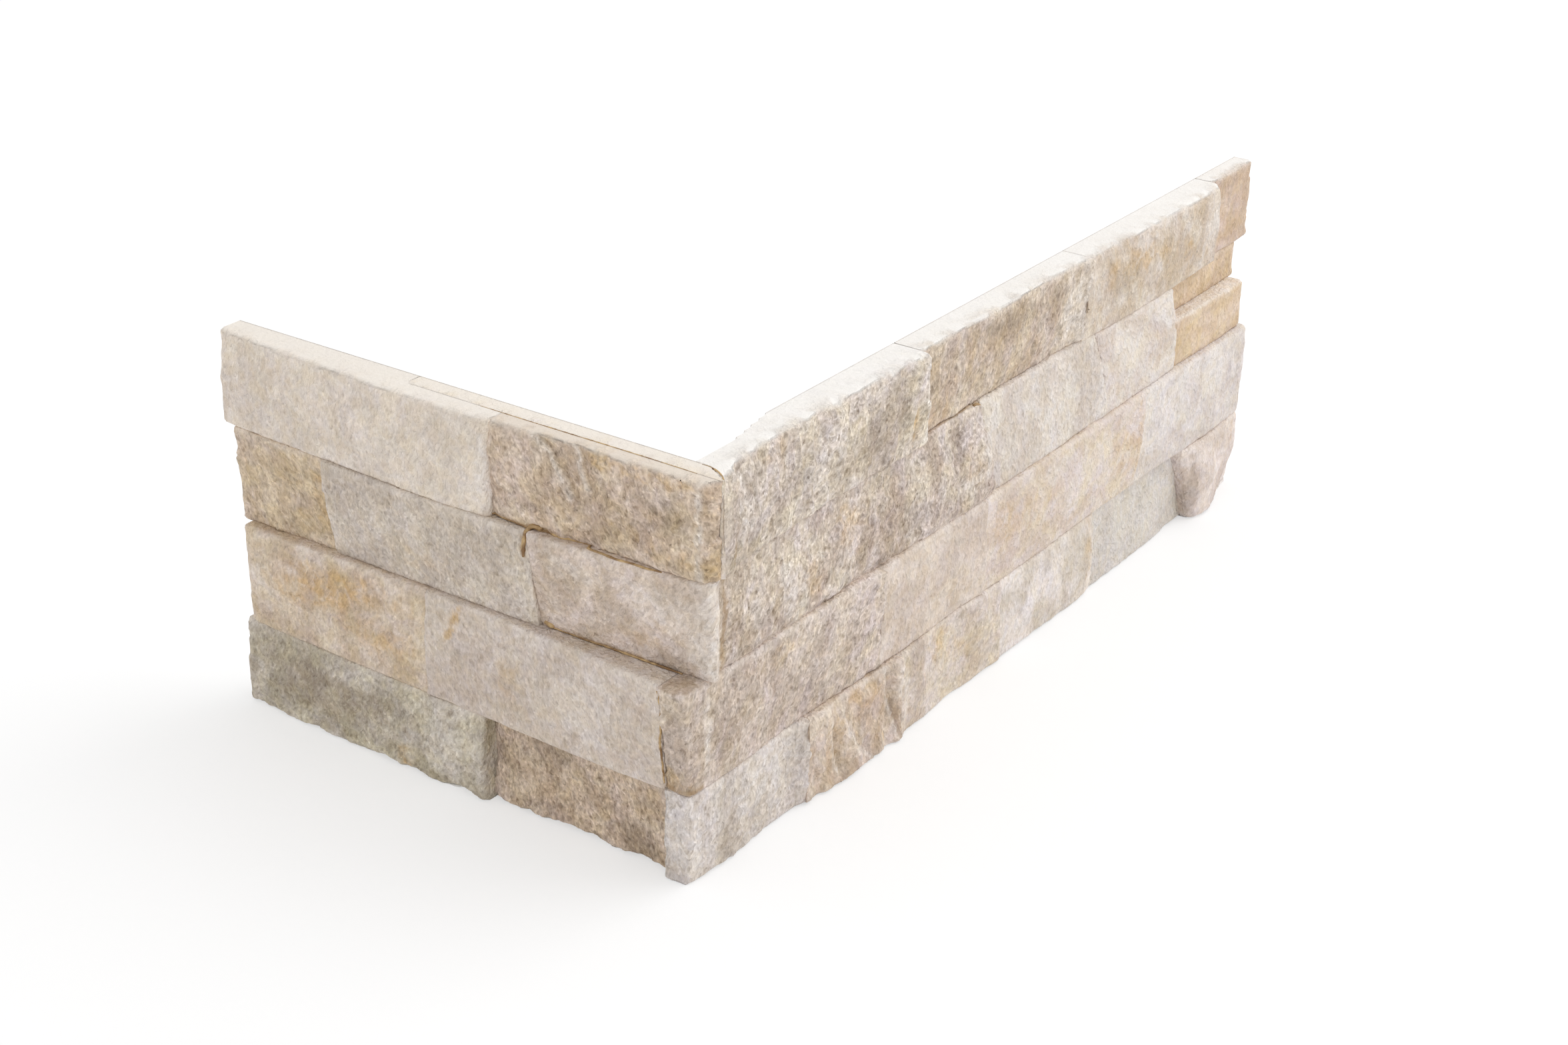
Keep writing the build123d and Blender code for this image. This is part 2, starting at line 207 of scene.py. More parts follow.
class Leg(Enum):
    """The two legs of the L: the axis along each, and the axis behind its face plane."""

    LONG = (0, 1)
    SHORT = (1, 0)

    @property
    def along(self) -> int:
        """Return the axis that runs along the leg."""
        return self.value[0]

    @property
    def behind(self) -> int:
        """Return the axis that runs into the wall."""
        return self.value[1]

    def place(self, along: float, proud: float, high: float) -> Vector:
        """Return a point in metres from its place along, in front of and up the leg."""
        point = [0.0, 0.0, high * MM]
        point[self.along] = along * MM
        point[self.behind] = -proud * MM
        return Vector(point)


class Stain(Enum):
    """What is painted into a block's attributes."""

    WARM = "warm"
    # Dark stains, and painted shade in chip lees and a few joints.
    DARK = "dark"
    # Pale stone, and painted highlight on chip crests, a corner arris and a ledge.
    PALE = "pale"
    # Glue brown, which in a few joints and ledges is painted shade.
    GLUE = "glue"
    # Arris rims: rubbed stone and painted highlight.
    RIM = "rim"
    SAWN = "sawn"


@dataclass(frozen=True)
class Patch:
    """A soft-edged patch on a face, mostly a stain, in places painted shade and highlight: its
    centre and half sizes along and up the leg.
    """

    stain: Stain
    along: float
    high: float
    half_along: float
    half_high: float
    strength: float = 1.0
    turn: float = 0.0


WARM, DARK, PALE, GLUE = (
    partial(Patch, stain) for stain in (Stain.WARM, Stain.DARK, Stain.PALE, Stain.GLUE)
)


@dataclass(frozen=True)
class Layer:
    """One scale of split relief: its depth, and its size along and up the leg."""

    depth: float
    along: float
    high: float
    octaves: int = 3
    crest: bool = False


@dataclass(frozen=True)
class Dent:
    """A shallow hollow, or a swelling where the depth is negative."""

    along: float
    high: float
    half_along: float
    half_high: float
    depth: float


@dataclass(frozen=True)
class Chip:
    """A ledge left where a flake came off: the face drops on the right of the line."""

    line: tuple[tuple[float, float], ...]
    drop: float
    fade: float


@dataclass(frozen=True)
class Relief:
    """How a block's split face is broken."""

    layers: tuple[Layer, ...]
    facet_depth: float = 0.15
    facet_size: float = 6.0
    fill: float = 0.35
    ragged_head: float = 0.12
    ragged_foot: float = 0.12
    ragged_ends: float = 0.15
    corner_round: float = 0.0
    dents: tuple[Dent, ...] = ()
    chips: tuple[Chip, ...] = ()


def closed(along: float, fill: float, width: float = 3.0) -> Dent:
    """Return the swelling that brings a block's face out to its neighbour's at a joint."""
    return Dent(along, BEDS[-1] / 2.0, width, 400.0, -fill)


SMOOTH = Relief(
    layers=(Layer(0.5, 26.0, 20.0), Layer(0.22, 6.0, 6.0), Layer(0.16, 2.4, 2.4, 2)),
    facet_depth=0.2,
    facet_size=7.0,
)
GRAINY = Relief(
    layers=(Layer(0.7, 24.0, 18.0), Layer(0.42, 7.0, 7.0), Layer(0.3, 2.4, 2.4, 2)),
    facet_depth=0.45,
    facet_size=5.0,
    ragged_head=0.2,
    ragged_foot=0.2,
    ragged_ends=0.3,
)
STREAKED = Relief(
    layers=(Layer(0.45, 16.0, 40.0), Layer(0.26, 5.0, 14.0), Layer(0.2, 2.4, 3.5, 2)),
    facet_depth=0.25,
    facet_size=6.0,
)


class Signal:
    """A shader socket that Python arithmetic turns into Math nodes."""

    def __init__(self, graph: "Graph", socket: bpy.types.NodeSocket) -> None:
        """Keep the graph and the socket."""
        self.graph = graph
        self.socket = socket

    def _math(self, operation: str, first: object, second: object) -> "Signal":
        """Return the output of a Math node on two operands."""
        node = self.graph.node("ShaderNodeMath", {"operation": operation}, {0: first, 1: second})
        return Signal(self.graph, node.outputs[0])

    def __add__(self, other: object) -> "Signal":
        """Return the sum."""
        return self._math("ADD", self, other)

    def __radd__(self, other: object) -> "Signal":
        """Return the sum."""
        return self._math("ADD", other, self)

    def __sub__(self, other: object) -> "Signal":
        """Return the difference."""
        return self._math("SUBTRACT", self, other)

    def __rsub__(self, other: object) -> "Signal":
        """Return the difference the other way round."""
        return self._math("SUBTRACT", other, self)

    def __mul__(self, other: object) -> "Signal":
        """Return the product."""
        return self._math("MULTIPLY", self, other)

    def __rmul__(self, other: object) -> "Signal":
        """Return the product."""
        return self._math("MULTIPLY", other, self)

    def larger(self, other: object) -> "Signal":
        """Return the larger of the two."""
        return self._math("MAXIMUM", self, other)


class Graph:
    """The node tree of one material or world."""

    def __init__(self, tree: bpy.types.NodeTree) -> None:
        """Empty the tree.

        Args:
            tree: The tree to build in.
        """
        self.tree = tree
        tree.nodes.clear()

    def node(
        self,
        kind: str,
        settings: dict[str, object] | None = None,
        inputs: dict[str | int, object] | None = None,
    ) -> bpy.types.Node:
        """Add a node.

        Args:
            kind: The node's type.
            settings: Properties of the node, set first.
            inputs: Values or signals for its sockets, by name or number.

        Returns:
            The node.
        """
        node = self.tree.nodes.new(kind)
        for name, value in (settings or {}).items():
            setattr(node, name, value)
        for name, value in (inputs or {}).items():
            if isinstance(value, Signal):
                self.tree.links.new(value.socket, node.inputs[name])
            else:
                node.inputs[name].default_value = value
        return node

    def signal(
        self,
        kind: str,
        output: str | int,
        settings: dict[str, object] | None = None,
        inputs: dict[str | int, object] | None = None,
    ) -> Signal:
        """Add a node and return one of its outputs.

        Args:
            kind: The node's type.
            output: The output's name or number.
            settings: Properties of the node.
            inputs: Values or signals for its sockets.

        Returns:
            The output.
        """
        return Signal(self, self.node(kind, settings, inputs).outputs[output])

    def step(self, value: Signal, low: float, high: float) -> Signal:
        """Rise smoothly from 0 at low to 1 at high.

        Args:
            value: The signal to map.
            low: Where the rise starts.
            high: Where it ends.

        Returns:
            The mapped signal.
        """
        inputs = {"Value": value, "From Min": low, "From Max": high}
        settings = {"interpolation_type": "SMOOTHSTEP"}
        return self.signal("ShaderNodeMapRange", "Result", settings, inputs)

    def blend(self, share: Signal, first: object, second: object) -> Signal:
        """Mix two colours.

        Args:
            share: How much of the second there is.
            first: A colour signal, or a linear colour.
            second: A colour signal, or a linear colour.

        Returns:
            The mixed colour.
        """
        pair = [value if isinstance(value, Signal) else (*value, 1.0) for value in (first, second)]
        settings = {"data_type": "RGBA", "clamp_factor": True}
        return self.signal("ShaderNodeMix", 2, settings, {0: share, 6: pair[0], 7: pair[1]})

    def tint(self, colour: Signal, factors: Signal) -> Signal:
        """Multiply a colour's red, green and blue by three factors."""
        settings = {"operation": "MULTIPLY"}
        return self.signal("ShaderNodeVectorMath", 0, settings, {0: colour, 1: factors})

    def noise(self, place: Signal, size: float, detail: float = 3.0, warp: float = 0.0) -> Signal:
        """Add a noise texture.

        Args:
            place: The place in millimetres.
            size: The size of its largest features, in millimetres.
            detail: How many finer scales are added.
            warp: How much the pattern is distorted.

        Returns:
            A value of 0 to 1, mostly near a half.
        """
        inputs = {"Vector": place, "Scale": 1.0 / size, "Detail": detail, "Distortion": warp}
        return self.signal("ShaderNodeTexNoise", 0, None, inputs)

    def painted(self, stain: Stain) -> Signal:
        """Return a painted attribute."""
        return self.signal("ShaderNodeAttribute", "Fac", {"attribute_name": stain.value})

    def surface(self, bump: dict[str, object], body: dict[str, object]) -> None:
        """Finish the tree with a bumped surface.

        Args:
            bump: The inputs of its Bump node.
            body: The other inputs of its Principled node.
        """
        normal = self.signal("ShaderNodeBump", "Normal", None, bump)
        shader = self.signal("ShaderNodeBsdfPrincipled", 0, None, {**body, "Normal": normal})
        self.node("ShaderNodeOutputMaterial", None, {"Surface": shader})


def blank(name: str) -> tuple[bpy.types.Material, Graph]:
    """Return a new material and its empty graph."""
    material = bpy.data.materials.new(name)
    material.use_nodes = True
    return material, Graph(material.node_tree)


def meshed(shell: bmesh.types.BMesh, name: str) -> bpy.types.Mesh:
    """Turn a bmesh into a mesh, and free it."""
    mesh = bpy.data.meshes.new(name)
    shell.to_mesh(mesh)
    shell.free()
    return mesh


def stand(name: str, data: bpy.types.ID) -> bpy.types.Object:
    """Return a new object in the scene."""
    item = bpy.data.objects.new(name, data)
    bpy.context.scene.collection.objects.link(item)
    return item


@dataclass(frozen=True)
class StoneFinish:
    """The colours and grain of one quartzite block, in screen colours of 0 to 255."""

    pale: Colour
    deep: Colour
    warm: Colour = (207, 178, 138)
    dark: Colour = (146, 128, 108)
    lilac: Colour = (1.0, 0.992, 1.022)
    ochre: Colour = (1.01, 1.0, 0.955)
    # Colour of the pale patches: pale stone, and painted highlight on chip crests, a corner arris
    # and a ledge.
    pale_stain_and_highlight: Colour = (238, 230, 222)
    # Colour of the arris rims: rubbed stone and painted highlight.
    rubbed_and_highlit: Colour = (243, 232, 222)
    # Glue brown: dried adhesive, and in a few joints painted shade.
    glue_and_joint_shade: Colour = (158, 126, 84)
    cloud: float = 16.0
    stretch: float = 1.0
    grain: float = 0.16
    warm_share: float = 0.15
    dark_share: float = 0.2
    sawn: Colour = (245, 242, 238)

    def material(self, name: str, number: int) -> bpy.types.Material:
        """Build the finish.

        Args:
            name: The material's name.
            number: The block's number, which shifts the pattern.

        Returns:
            The material.
        """
        material, graph = blank(name)
        colour, height, roughness = self._pattern(graph, number)
        graph.surface(
            {"Strength": 0.9, "Distance": 1.3 * MM, "Height": height},
            {"Base Color": colour, "Roughness": roughness, "Specular IOR Level": 0.3},
        )
        return material

    def _pattern(self, graph: Graph, number: int) -> tuple[Signal, Signal, Signal]:
        """Lay the clouds, stains, grain, painted glint and painted highlight and shade over one
        another.

        Args:
            graph: The material's graph.
            number: The block's number.

        Returns:
            The colour, the height for the bump, and the roughness.
        """
        place = graph.signal("ShaderNodeTexCoord", "Object")
        grid = self._mapped(graph, place, 1.0, number)
        drawn = self._mapped(graph, place, self.stretch, number)
        strokes = self._mapped(graph, place, 1.4, number)

        clouds = graph.step(graph.noise(drawn, self.cloud, 4.0, 0.6), 0.36, 0.64)
        colour = graph.blend(clouds, linear(*self.deep), linear(*self.pale))

        seams = graph.noise(drawn, self.cloud * 0.55, 5.0, 1.2)
        rust = graph.step(seams, 0.66 - 0.3 * self.warm_share, 0.86 - 0.3 * self.warm_share)
        patchy = graph.step(graph.noise(grid, 5.0, 4.0, 0.5), 0.4, 0.6)
        warmth = rust * self.warm_share * 1.6 + graph.painted(Stain.WARM) * (patchy * 0.8 + 0.35)
        colour = graph.blend(warmth * 0.85, colour, linear(*self.warm))
        for size, low, high in ((20.0, 0.4, 0.6), (7.0, 0.36, 0.64)):
            drift = graph.step(graph.noise(drawn, size, 1.5, 0.8), low, high)
            colour = graph.tint(colour, graph.blend(drift, self.lilac, self.ochre))

        mottle = graph.noise(grid, 4.5, 3.0, 0.4)
        # Darker mottle and dark stains, with painted shade in chip lees and in a few joints.
        mottle_stain_and_shade = graph.step(mottle, 0.5, 0.75) * self.dark_share + graph.painted(Stain.DARK) * 0.75
        colour = graph.blend(mottle_stain_and_shade, colour, linear(*self.dark))
        # Pale patches, with painted highlight on chip crests, a rounded corner arris and a ledge.
        colour = graph.blend(graph.painted(Stain.PALE) * 0.7, colour, linear(*self.pale_stain_and_highlight))

        cells = {"Vector": strokes, "Scale": 1.25}
        crystals = graph.signal("ShaderNodeTexVoronoi", "Color", None, cells)
        sugar = graph.noise(strokes, 1.4, 1.5, 0.5)
        flecks = graph.noise(strokes, 2.8, 2.0, 0.5)
        rusty = graph.step(flecks, 0.56, 0.7) * self.grain * 0.06
        colour = graph.blend(rusty, colour, linear(*self.warm))
        pits = graph.step(graph.noise(strokes, 1.7, 1.0), 0.58, 0.7) * -0.9
        # The brightest crystal cells are lightened: painted glint of light on the quartz grains.
        painted_glint = graph.step(crystals, 0.72, 0.95) * 0.7
        grain = (crystals - 0.5) * 1.2 + (sugar - 0.5) * 4.6 + (flecks - 0.5) * 2.8 + pits + painted_glint
        shade = (grain * self.grain + (mottle - 0.5) * 0.2) * 0.556 + 0.5
        colour = graph.tint(colour, graph.blend(shade, (0.163, 0.1, 0.033), (1.837, 1.9, 1.967)))
        tone = graph.step(mottle, 0.36, 0.64)
        colour = graph.tint(colour, graph.blend(tone, (1.018, 0.998, 0.96), (0.988, 1.0, 1.024)))

        # Rims along the arrises, palest at the top arris: partly rubbed stone, partly painted
        # highlight where the arris catches the light.
        rim = graph.painted(Stain.RIM)
        colour = graph.blend(rim * 0.75, colour, linear(*self.rubbed_and_highlit))
        sawn = graph.painted(Stain.SAWN)
        colour = graph.blend(sawn * 0.9, colour, linear(*self.sawn))
        # Glue brown: dried adhesive on joints and ledges, and in a few joints painted shade.
        glue = graph.painted(Stain.GLUE)
        colour = graph.blend(glue * 0.85, colour, linear(*self.glue_and_joint_shade))

        height = crystals * 0.3 + sugar * 0.9 + flecks * 0.8 + mottle * 0.6
        roughness = 0.86 - glue * 0.3 - sugar * 0.12
        return colour, height * (1.0 - sawn * 0.7), roughness

    def _mapped(self, graph: Graph, place: Signal, stretch: float, number: int) -> Signal:
        """Turn the place into millimetres, drawn out along the stone's grain.

        Args:
            graph: The material's graph.
            place: The place in metres.
            stretch: How much longer the features are along the grain.
            number: The block's number, which shifts the pattern.

        Returns:
            The mapped place.
        """
        lean = math.radians(number * 37 % 60 - 30)
        inputs = {
            "Vector": place,
            "Location": Vector((0.037, 0.061, 0.023)) * number,
            "Rotation": (lean, lean, 0.0),
            "Scale": (MM, MM, MM * stretch),
        }
        return graph.signal("ShaderNodeMapping", "Vector", {"vector_type": "TEXTURE"}, inputs)


@dataclass(frozen=True)
class GlueFinish:
    """Dried construction adhesive, brown and slightly glossy."""

    thin: Colour = (196, 166, 120)
    thick: Colour = (128, 96, 60)

    def material(self, name: str) -> bpy.types.Material:
        """Build the finish.

        Args:
            name: The material's name.

        Returns:
            The material.
        """
        material, graph = blank(name)
        place = graph.signal("ShaderNodeTexCoord", "Object")
        inputs = {"Vector": place, "Scale": (1.0 / MM, 1.0 / MM, 1.0 / MM)}
        grid = graph.signal("ShaderNodeMapping", "Vector", None, inputs)
        runs = graph.step(graph.noise(grid, 5.0, 4.0, 0.8), 0.36, 0.64)
        colour = graph.blend(runs, linear(*self.thin), linear(*self.thick))
        ripple = graph.noise(grid, 1.5, 2.0)
        graph.surface(
            {"Strength": 0.4, "Distance": 0.3 * MM, "Height": ripple},
            {"Base Color": colour, "Roughness": 0.55 - runs * 0.15},
        )
        return material


@dataclass(frozen=True)
class Stone:
    """One block: the CAD node it stands for, its finish and how it is broken."""

    node: str
    slot: str
    finish: StoneFinish
    relief: Relief
    patches: tuple[Patch, ...] = ()
    end_shows: bool = False
    # How much glue brown the ledges take; on one block it is painted shadow in a slit.
    ledge_glue_and_shade: float = 0.15

    @property
    def leg(self) -> Leg:
        """Return the leg that the node's name gives."""
        return Leg.LONG if "_long_" in self.node else Leg.SHORT


class Carver:
    """Breaks and stains one remeshed block, and paints its highlights and shade. Every length is
    in millimetres.
    """

    BIN = 1.5
    OUTWARD = 0.3
    ARRIS_REACH = 0.7
    SET_BACK = 0.8
    FILL_REACH = 1.5
    END_GROWTH = 0.3
    BED_GROWTH = 0.25
    BACK_STARTS = (2.0, 4.0)
    WORN_REACH = 3.0

    def __init__(self, stone: Stone, mesh: bpy.types.Mesh, number: int) -> None:
        """Read the mesh.

        Args:
            stone: The block.
            mesh: Its remeshed copy.
            number: The block's number, which seeds its noise.
        """
        self.stone = stone
        self.mesh = mesh
        self.grit = Grit(1000 + number)
        self.points = self._read("co") / MM
        self.normals = self._read("normal")
        self.along = self.points[:, stone.leg.along]
        self.behind = self.points[:, stone.leg.behind]
        self.high = self.points[:, 2]
        self.out = -self.normals[:, stone.leg.behind]
        self.split = ease(self.out, 0.1, 0.6)
        if stone.end_shows:
            self.split = np.maximum(self.split, ease(-self.normals[:, stone.leg.along], 0.3, 0.7))
        self.inset, self.rim, self.crest, self.lee = np.zeros((4, len(self.points)))

    def _read(self, field: str) -> Array:
        """Return one vector of each vertex."""
        values = np.zeros(len(self.mesh.vertices) * 3, np.float32)
        self.mesh.vertices.foreach_get(field, values)
        return values.reshape(-1, 3).astype(float)

    def _flat(self, along: float, high: float) -> Array:
        """Return the points in the leg's own axes, scaled by two feature sizes."""
        across = min(along, high)
        return np.column_stack([self.along / along, self.behind / across, self.high / high])

    def _reach(self, keys: Array, values: Array, mask: Array | slice = slice(None)) -> Array:
        """Follow the largest value along a key.

        Args:
            keys: What the values are sorted by.
            values: The values.
            mask: Which vertices count.

        Returns:
            The largest value near each vertex's key.
        """
        low = keys.min()
        slot = ((keys - low) / self.BIN).astype(int)
        best = np.full(slot.max() + 1, -np.inf)
        np.maximum.at(best, slot[mask], values[mask])
        known = np.isfinite(best)
        centres = low + (np.arange(len(best)) + 0.5) * self.BIN
        return np.interp(keys, centres[known], best[known])

    def carve(self) -> None:
        """Move the vertices: the relief of the face first, then the broken arrises."""
        relief = self.stone.relief
        depth = np.zeros(len(self.points))
        for index, layer in enumerate(relief.layers):
            field = self._flat(layer.along, layer.high) + 31.0 * index
            depth += layer.depth * self.grit.rough(field, layer.octaves, layer.crest)
        facets = self.grit.facets(self._flat(relief.facet_size, relief.facet_size))
        depth += relief.facet_depth * facets
        for dent in relief.dents:
            run = (self.along - dent.along) / dent.half_along
            rise = (self.high - dent.high) / dent.half_high
            depth -= dent.depth * np.exp(-(np.hypot(run, rise) ** 2))
        for chip in relief.chips:
            depth -= self._chip(chip)
        for gap in (self.high.max() - self.high, self.high - self.high.min()):
            depth += relief.fill * np.exp(-gap / self.FILL_REACH)
        sideways = self.normals * np.array([1.0, 1.0, 0.0])
        moved = self.points + sideways * (depth * self.split)[:, None]
        moved += self._wear() + self._meeting()
        if relief.corner_round:
            moved += self._rounding(relief.corner_round)
        self.points = moved
        self.mesh.vertices.foreach_set("co", (moved * MM).astype(np.float32).ravel())
        self.mesh.update()

    def _chip(self, chip: Chip) -> Array:
        """Work out how far a flake's scar lies below the face, and where its crest and lee are:
        the crest is painted pale, partly fresh broken stone and partly painted highlight, and the
        lee dark as painted shade.

        Args:
            chip: The flake.

        Returns:
            The drop at each vertex.
        """
        nearest = np.full(len(self.points), np.inf)
        side = np.zeros(len(self.points))
        for (a0, h0), (a1, h1) in zip(chip.line, chip.line[1:]):
            run, rise = a1 - a0, h1 - h0
            ahead, above = self.along - a0, self.high - h0
            length = math.hypot(run, rise)
            share = np.clip((ahead * run + above * rise) / length**2, 0.0, 1.0)
            away = np.hypot(ahead - run * share, above - rise * share)
            closer = away < nearest
            side = np.where(closer, (above * run - ahead * rise) / length, side)
            nearest = np.where(closer, away, nearest)
        lee = ease(0.8 * self.grit.wave(self._flat(5.0, 5.0)) - side, -0.4, 0.9)
        # Crest: fresh broken stone and painted highlight. Lee: painted shade.
        self.crest = np.maximum(self.crest, np.exp(-nearest / 0.9) * (1.0 - lee) * self.split)
        self.lee = np.maximum(self.lee, np.exp(-nearest / 2.0) * lee * self.split)
        return chip.drop * lee * np.exp(-nearest / chip.fade)

    def _wear(self) -> Array:
        """Chip the arrises of the split face, and note where they are painted pale: partly rubbed
        stone, partly painted highlight on the arris.

        Returns:
            The movement of each vertex.
        """
        relief, leg = self.stone.relief, self.stone.leg
        move = np.zeros_like(self.points)
        below = self.high - self.high.min()
        above = self.high.max() - self.high
        near = self.along + self._reach(self.high, -self.along)
        far = self._reach(self.high, self.along) - self.along
        beds = (self.along, 2.5, 2, self._bites(self._flat(17.0, 60.0)), 1.3)
        ends = (self.high, 3.0, leg.along, self._bites(self._flat(60.0, 14.0)), 0.9)
        corner = 0.0 if relief.corner_round else 0.6
        for gap, sign, ragged, pale, (key, width, axis, bites, rim) in (
            (near, 1.0, relief.ragged_ends, corner, ends),
            (far, -1.0, relief.ragged_ends, 0.6, ends),
            (below, 1.0, relief.ragged_foot, 0.5, beds),
            (above, -1.0, relief.ragged_head, 1.0, beds),
        ):
            proud = self._reach(key, -self.behind, (gap < width) & (self.out > self.OUTWARD))
            self.inset = np.maximum(proud + self.behind, 0.0)
            away = np.hypot(gap, self.inset)
            bite = ragged * bites * np.exp(-away / (self.ARRIS_REACH * (1.0 + ragged)))
            move[:, axis] += sign * bite
            move[:, leg.behind] += self.SET_BACK * bite
            self.rim = np.maximum(self.rim, pale * np.exp(-away / rim))
        return move

    def _meeting(self) -> Array:
        """Grow the ends and the hidden beds a little, so that neighbours meet without a groove.

        Returns:
            The movement of each vertex.
        """
        move = np.zeros_like(self.points)
        along = self.normals[:, self.stone.leg.along]
        up = self.normals[:, 2]
        inner = (self.high > 2.0) & (self.high < BEDS[-1] - 2.0)
        move[:, self.stone.leg.along] = self.END_GROWTH * along * (np.abs(along) > self.OUTWARD)
        move[:, 2] = self.BED_GROWTH * up * (np.abs(up) > self.OUTWARD) * inner
        return move

    def _rounding(self, radius: float) -> Array:
        """Round the upright arris at the outer corner.

        Args:
            radius: The arris's radius.

        Returns:
            The movement of each vertex.
        """
        move = np.zeros_like(self.points)
        proud = self._reach(self.high, -self.behind, self.along < self.along.min() + 8.0)
        near = self.along + self._reach(self.high, -self.along)
        across = np.maximum(near, 0.0) - radius
        inward = np.maximum(proud + self.behind, 0.0) - radius
        length = np.maximum(np.hypot(across, inward), 0.001)
        inside = (across < 0.0) & (inward < 0.0) & (length > radius)
        share = np.where(inside, radius / length - 1.0, 0.0)
        move[:, self.stone.leg.along] = across * share
        move[:, self.stone.leg.behind] = inward * share
        return move

    def _bites(self, field: Array) -> Array:
        """Return how deep an arris is chipped: mostly hardly at all, and here and there a bite."""
        return 0.15 + 1.4 * ease(self.grit.rough(field, 4), -0.15, 0.75)

    def _patchy(self, size: float, offset: float, low: float, high: float) -> Array:
        """Return soft random patches of a size."""
        return ease(self.grit.rough(self._flat(size, size) + offset, 3), low, high)

    def paint(self) -> None:
        """Write the stains, and the painted highlight and shade, into the mesh's attributes."""
        masks = {stain: np.zeros(len(self.points)) for stain in Stain}
        for index, patch in enumerate(self.stone.patches):
            mask = self._patch(patch, 7.7 * index)
            masks[patch.stain] = np.maximum(masks[patch.stain], mask)
        patchy = self._patchy(9.0, 5.0, -0.25, 0.5)
        bed = np.abs(self.normals[:, 2])
        middle = BEDS[-1] / 2.0
        outer = ease(np.abs(self.high - middle), middle - 3.0, middle - 2.0)
        back = -self.out * ease(self.behind, *self.BACK_STARTS)
        worn = 0.8 * np.exp(-self.inset / self.WORN_REACH) * self._patchy(8.0, 9.0, -0.3, 0.4)
        masks[Stain.SAWN] = ease(np.maximum(bed * outer, back), 0.55, 0.85) * (1.0 - worn)
        # Arris rims: rubbed stone and painted highlight.
        masks[Stain.RIM] = self.rim * (0.4 + 0.6 * patchy)
        # Ledges take glue brown, which on the third course's brown block is painted shadow in the
        # slit above it.
        ledge = ease(bed, 0.7, 0.95) * (1.0 - outer) * ease(self.inset, 0.9, 1.9)
        glue_and_joint_shade = ledge * (0.6 + 0.4 * patchy) * self.stone.ledge_glue_and_shade
        # Chip crests are painted pale, partly fresh broken stone and partly painted highlight;
        # chip lees are painted dark as painted shade.
        for stain, mask in (
            (Stain.PALE, self.crest), (Stain.DARK, self.lee * 0.7), (Stain.GLUE, glue_and_joint_shade)
        ):
            masks[stain] = np.maximum(masks[stain], mask)
        for stain, mask in masks.items():
            layer = self.mesh.attributes.new(stain.value, "FLOAT", "POINT")
            layer.data.foreach_set("value", np.clip(mask, 0.0, 1.0).astype(np.float32))

    def _patch(self, patch: Patch, offset: float) -> Array:
        """Work out one stain's strength.

        Args:
            patch: The stain.
            offset: What shifts its ragged edge.

        Returns:
            The strength at each vertex.
        """
        cosine, sine = math.cos(math.radians(patch.turn)), math.sin(math.radians(patch.turn))
        run = self.along - patch.along
        rise = self.high - patch.high
        long = (run * cosine + rise * sine) / patch.half_along
        wide = (rise * cosine - run * sine) / patch.half_high
        size = max(2.5, 0.9 * min(patch.half_along, patch.half_high))
        ragged = self.grit.rough(self._flat(size, size) + offset, 3)
        return patch.strength * ease(1.15 - np.hypot(long, wide) + 0.55 * ragged, 0.0, 0.8)


@dataclass(frozen=True)
class Course:
    """One course of blocks."""

    name: str
    stones: tuple[Stone, ...]
    first_number: int

    def build(self, nodes: dict[str, bpy.types.Object]) -> list[bpy.types.Object]:
        """Build every block of the course.

        Args:
            nodes: The CAD nodes by name.

        Returns:
            The finished pieces.
        """
        return [
            self._block(stone, nodes[stone.node], self.first_number + index)
            for index, stone in enumerate(self.stones)
        ]

    def _block(self, stone: Stone, node: bpy.types.Object, number: int) -> bpy.types.Object:
        """Remesh, break, stain and dress one block.

        Args:
            stone: The block.
            node: Its CAD node.
            number: Its number.

        Returns:
            The finished piece.
        """
        name = f"{stone.node}_split_stone"
        mesh = self._remeshed(node, name)
        carver = Carver(stone, mesh, number)
        carver.carve()
        carver.paint()
        mesh.materials.append(stone.finish.material(f"{stone.node}_finish", number))
        mesh.shade_smooth()
        mesh.set_sharp_from_angle(angle=SHARP_ANGLE)
        piece = stand(name, mesh)
        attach(piece, BODY)
        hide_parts(stone.node)
        log.info("%s: %s, %d faces", self.name, name, len(mesh.polygons))
        return piece

    @staticmethod
    def _remeshed(node: bpy.types.Object, name: str) -> bpy.types.Mesh:
        """Return a finely and evenly meshed copy of a node's solid.

        Args:
            node: The CAD node.
            name: The new mesh's name.

        Returns:
            The mesh.
        """
        shell = bmesh.new()
        shell.from_mesh(node.data)
        bmesh.ops.remove_doubles(shell, verts=shell.verts, dist=MERGE_DISTANCE)
        draft = meshed(shell, f"{name}_draft")
        holder = stand(f"{name}_draft", draft)
        remesh = holder.modifiers.new("remesh", "REMESH")
        remesh.mode = "VOXEL"
        remesh.voxel_size = VOXEL
        graph = bpy.context.evaluated_depsgraph_get()
        mesh = bpy.data.meshes.new_from_object(holder.evaluated_get(graph))
        mesh.name = name
        mesh.materials.clear()
        bpy.data.objects.remove(holder)
        bpy.data.meshes.remove(draft)
        return mesh


def course(name: str, first_number: int, *stones: Stone) -> Course:
    """Return a course of blocks, numbered from the first number on."""
    return Course(name, stones, first_number)


@dataclass(frozen=True)
class Bead:
    """A run of squeezed-out glue: points along and up a leg, and how thick it is.

    Where the leg is None the points are x and y on the top of the panel.
    """

    name: str
    leg: Leg | None
    path: tuple[tuple[float, float], ...]
    radius: float
    lift: float = 0.0


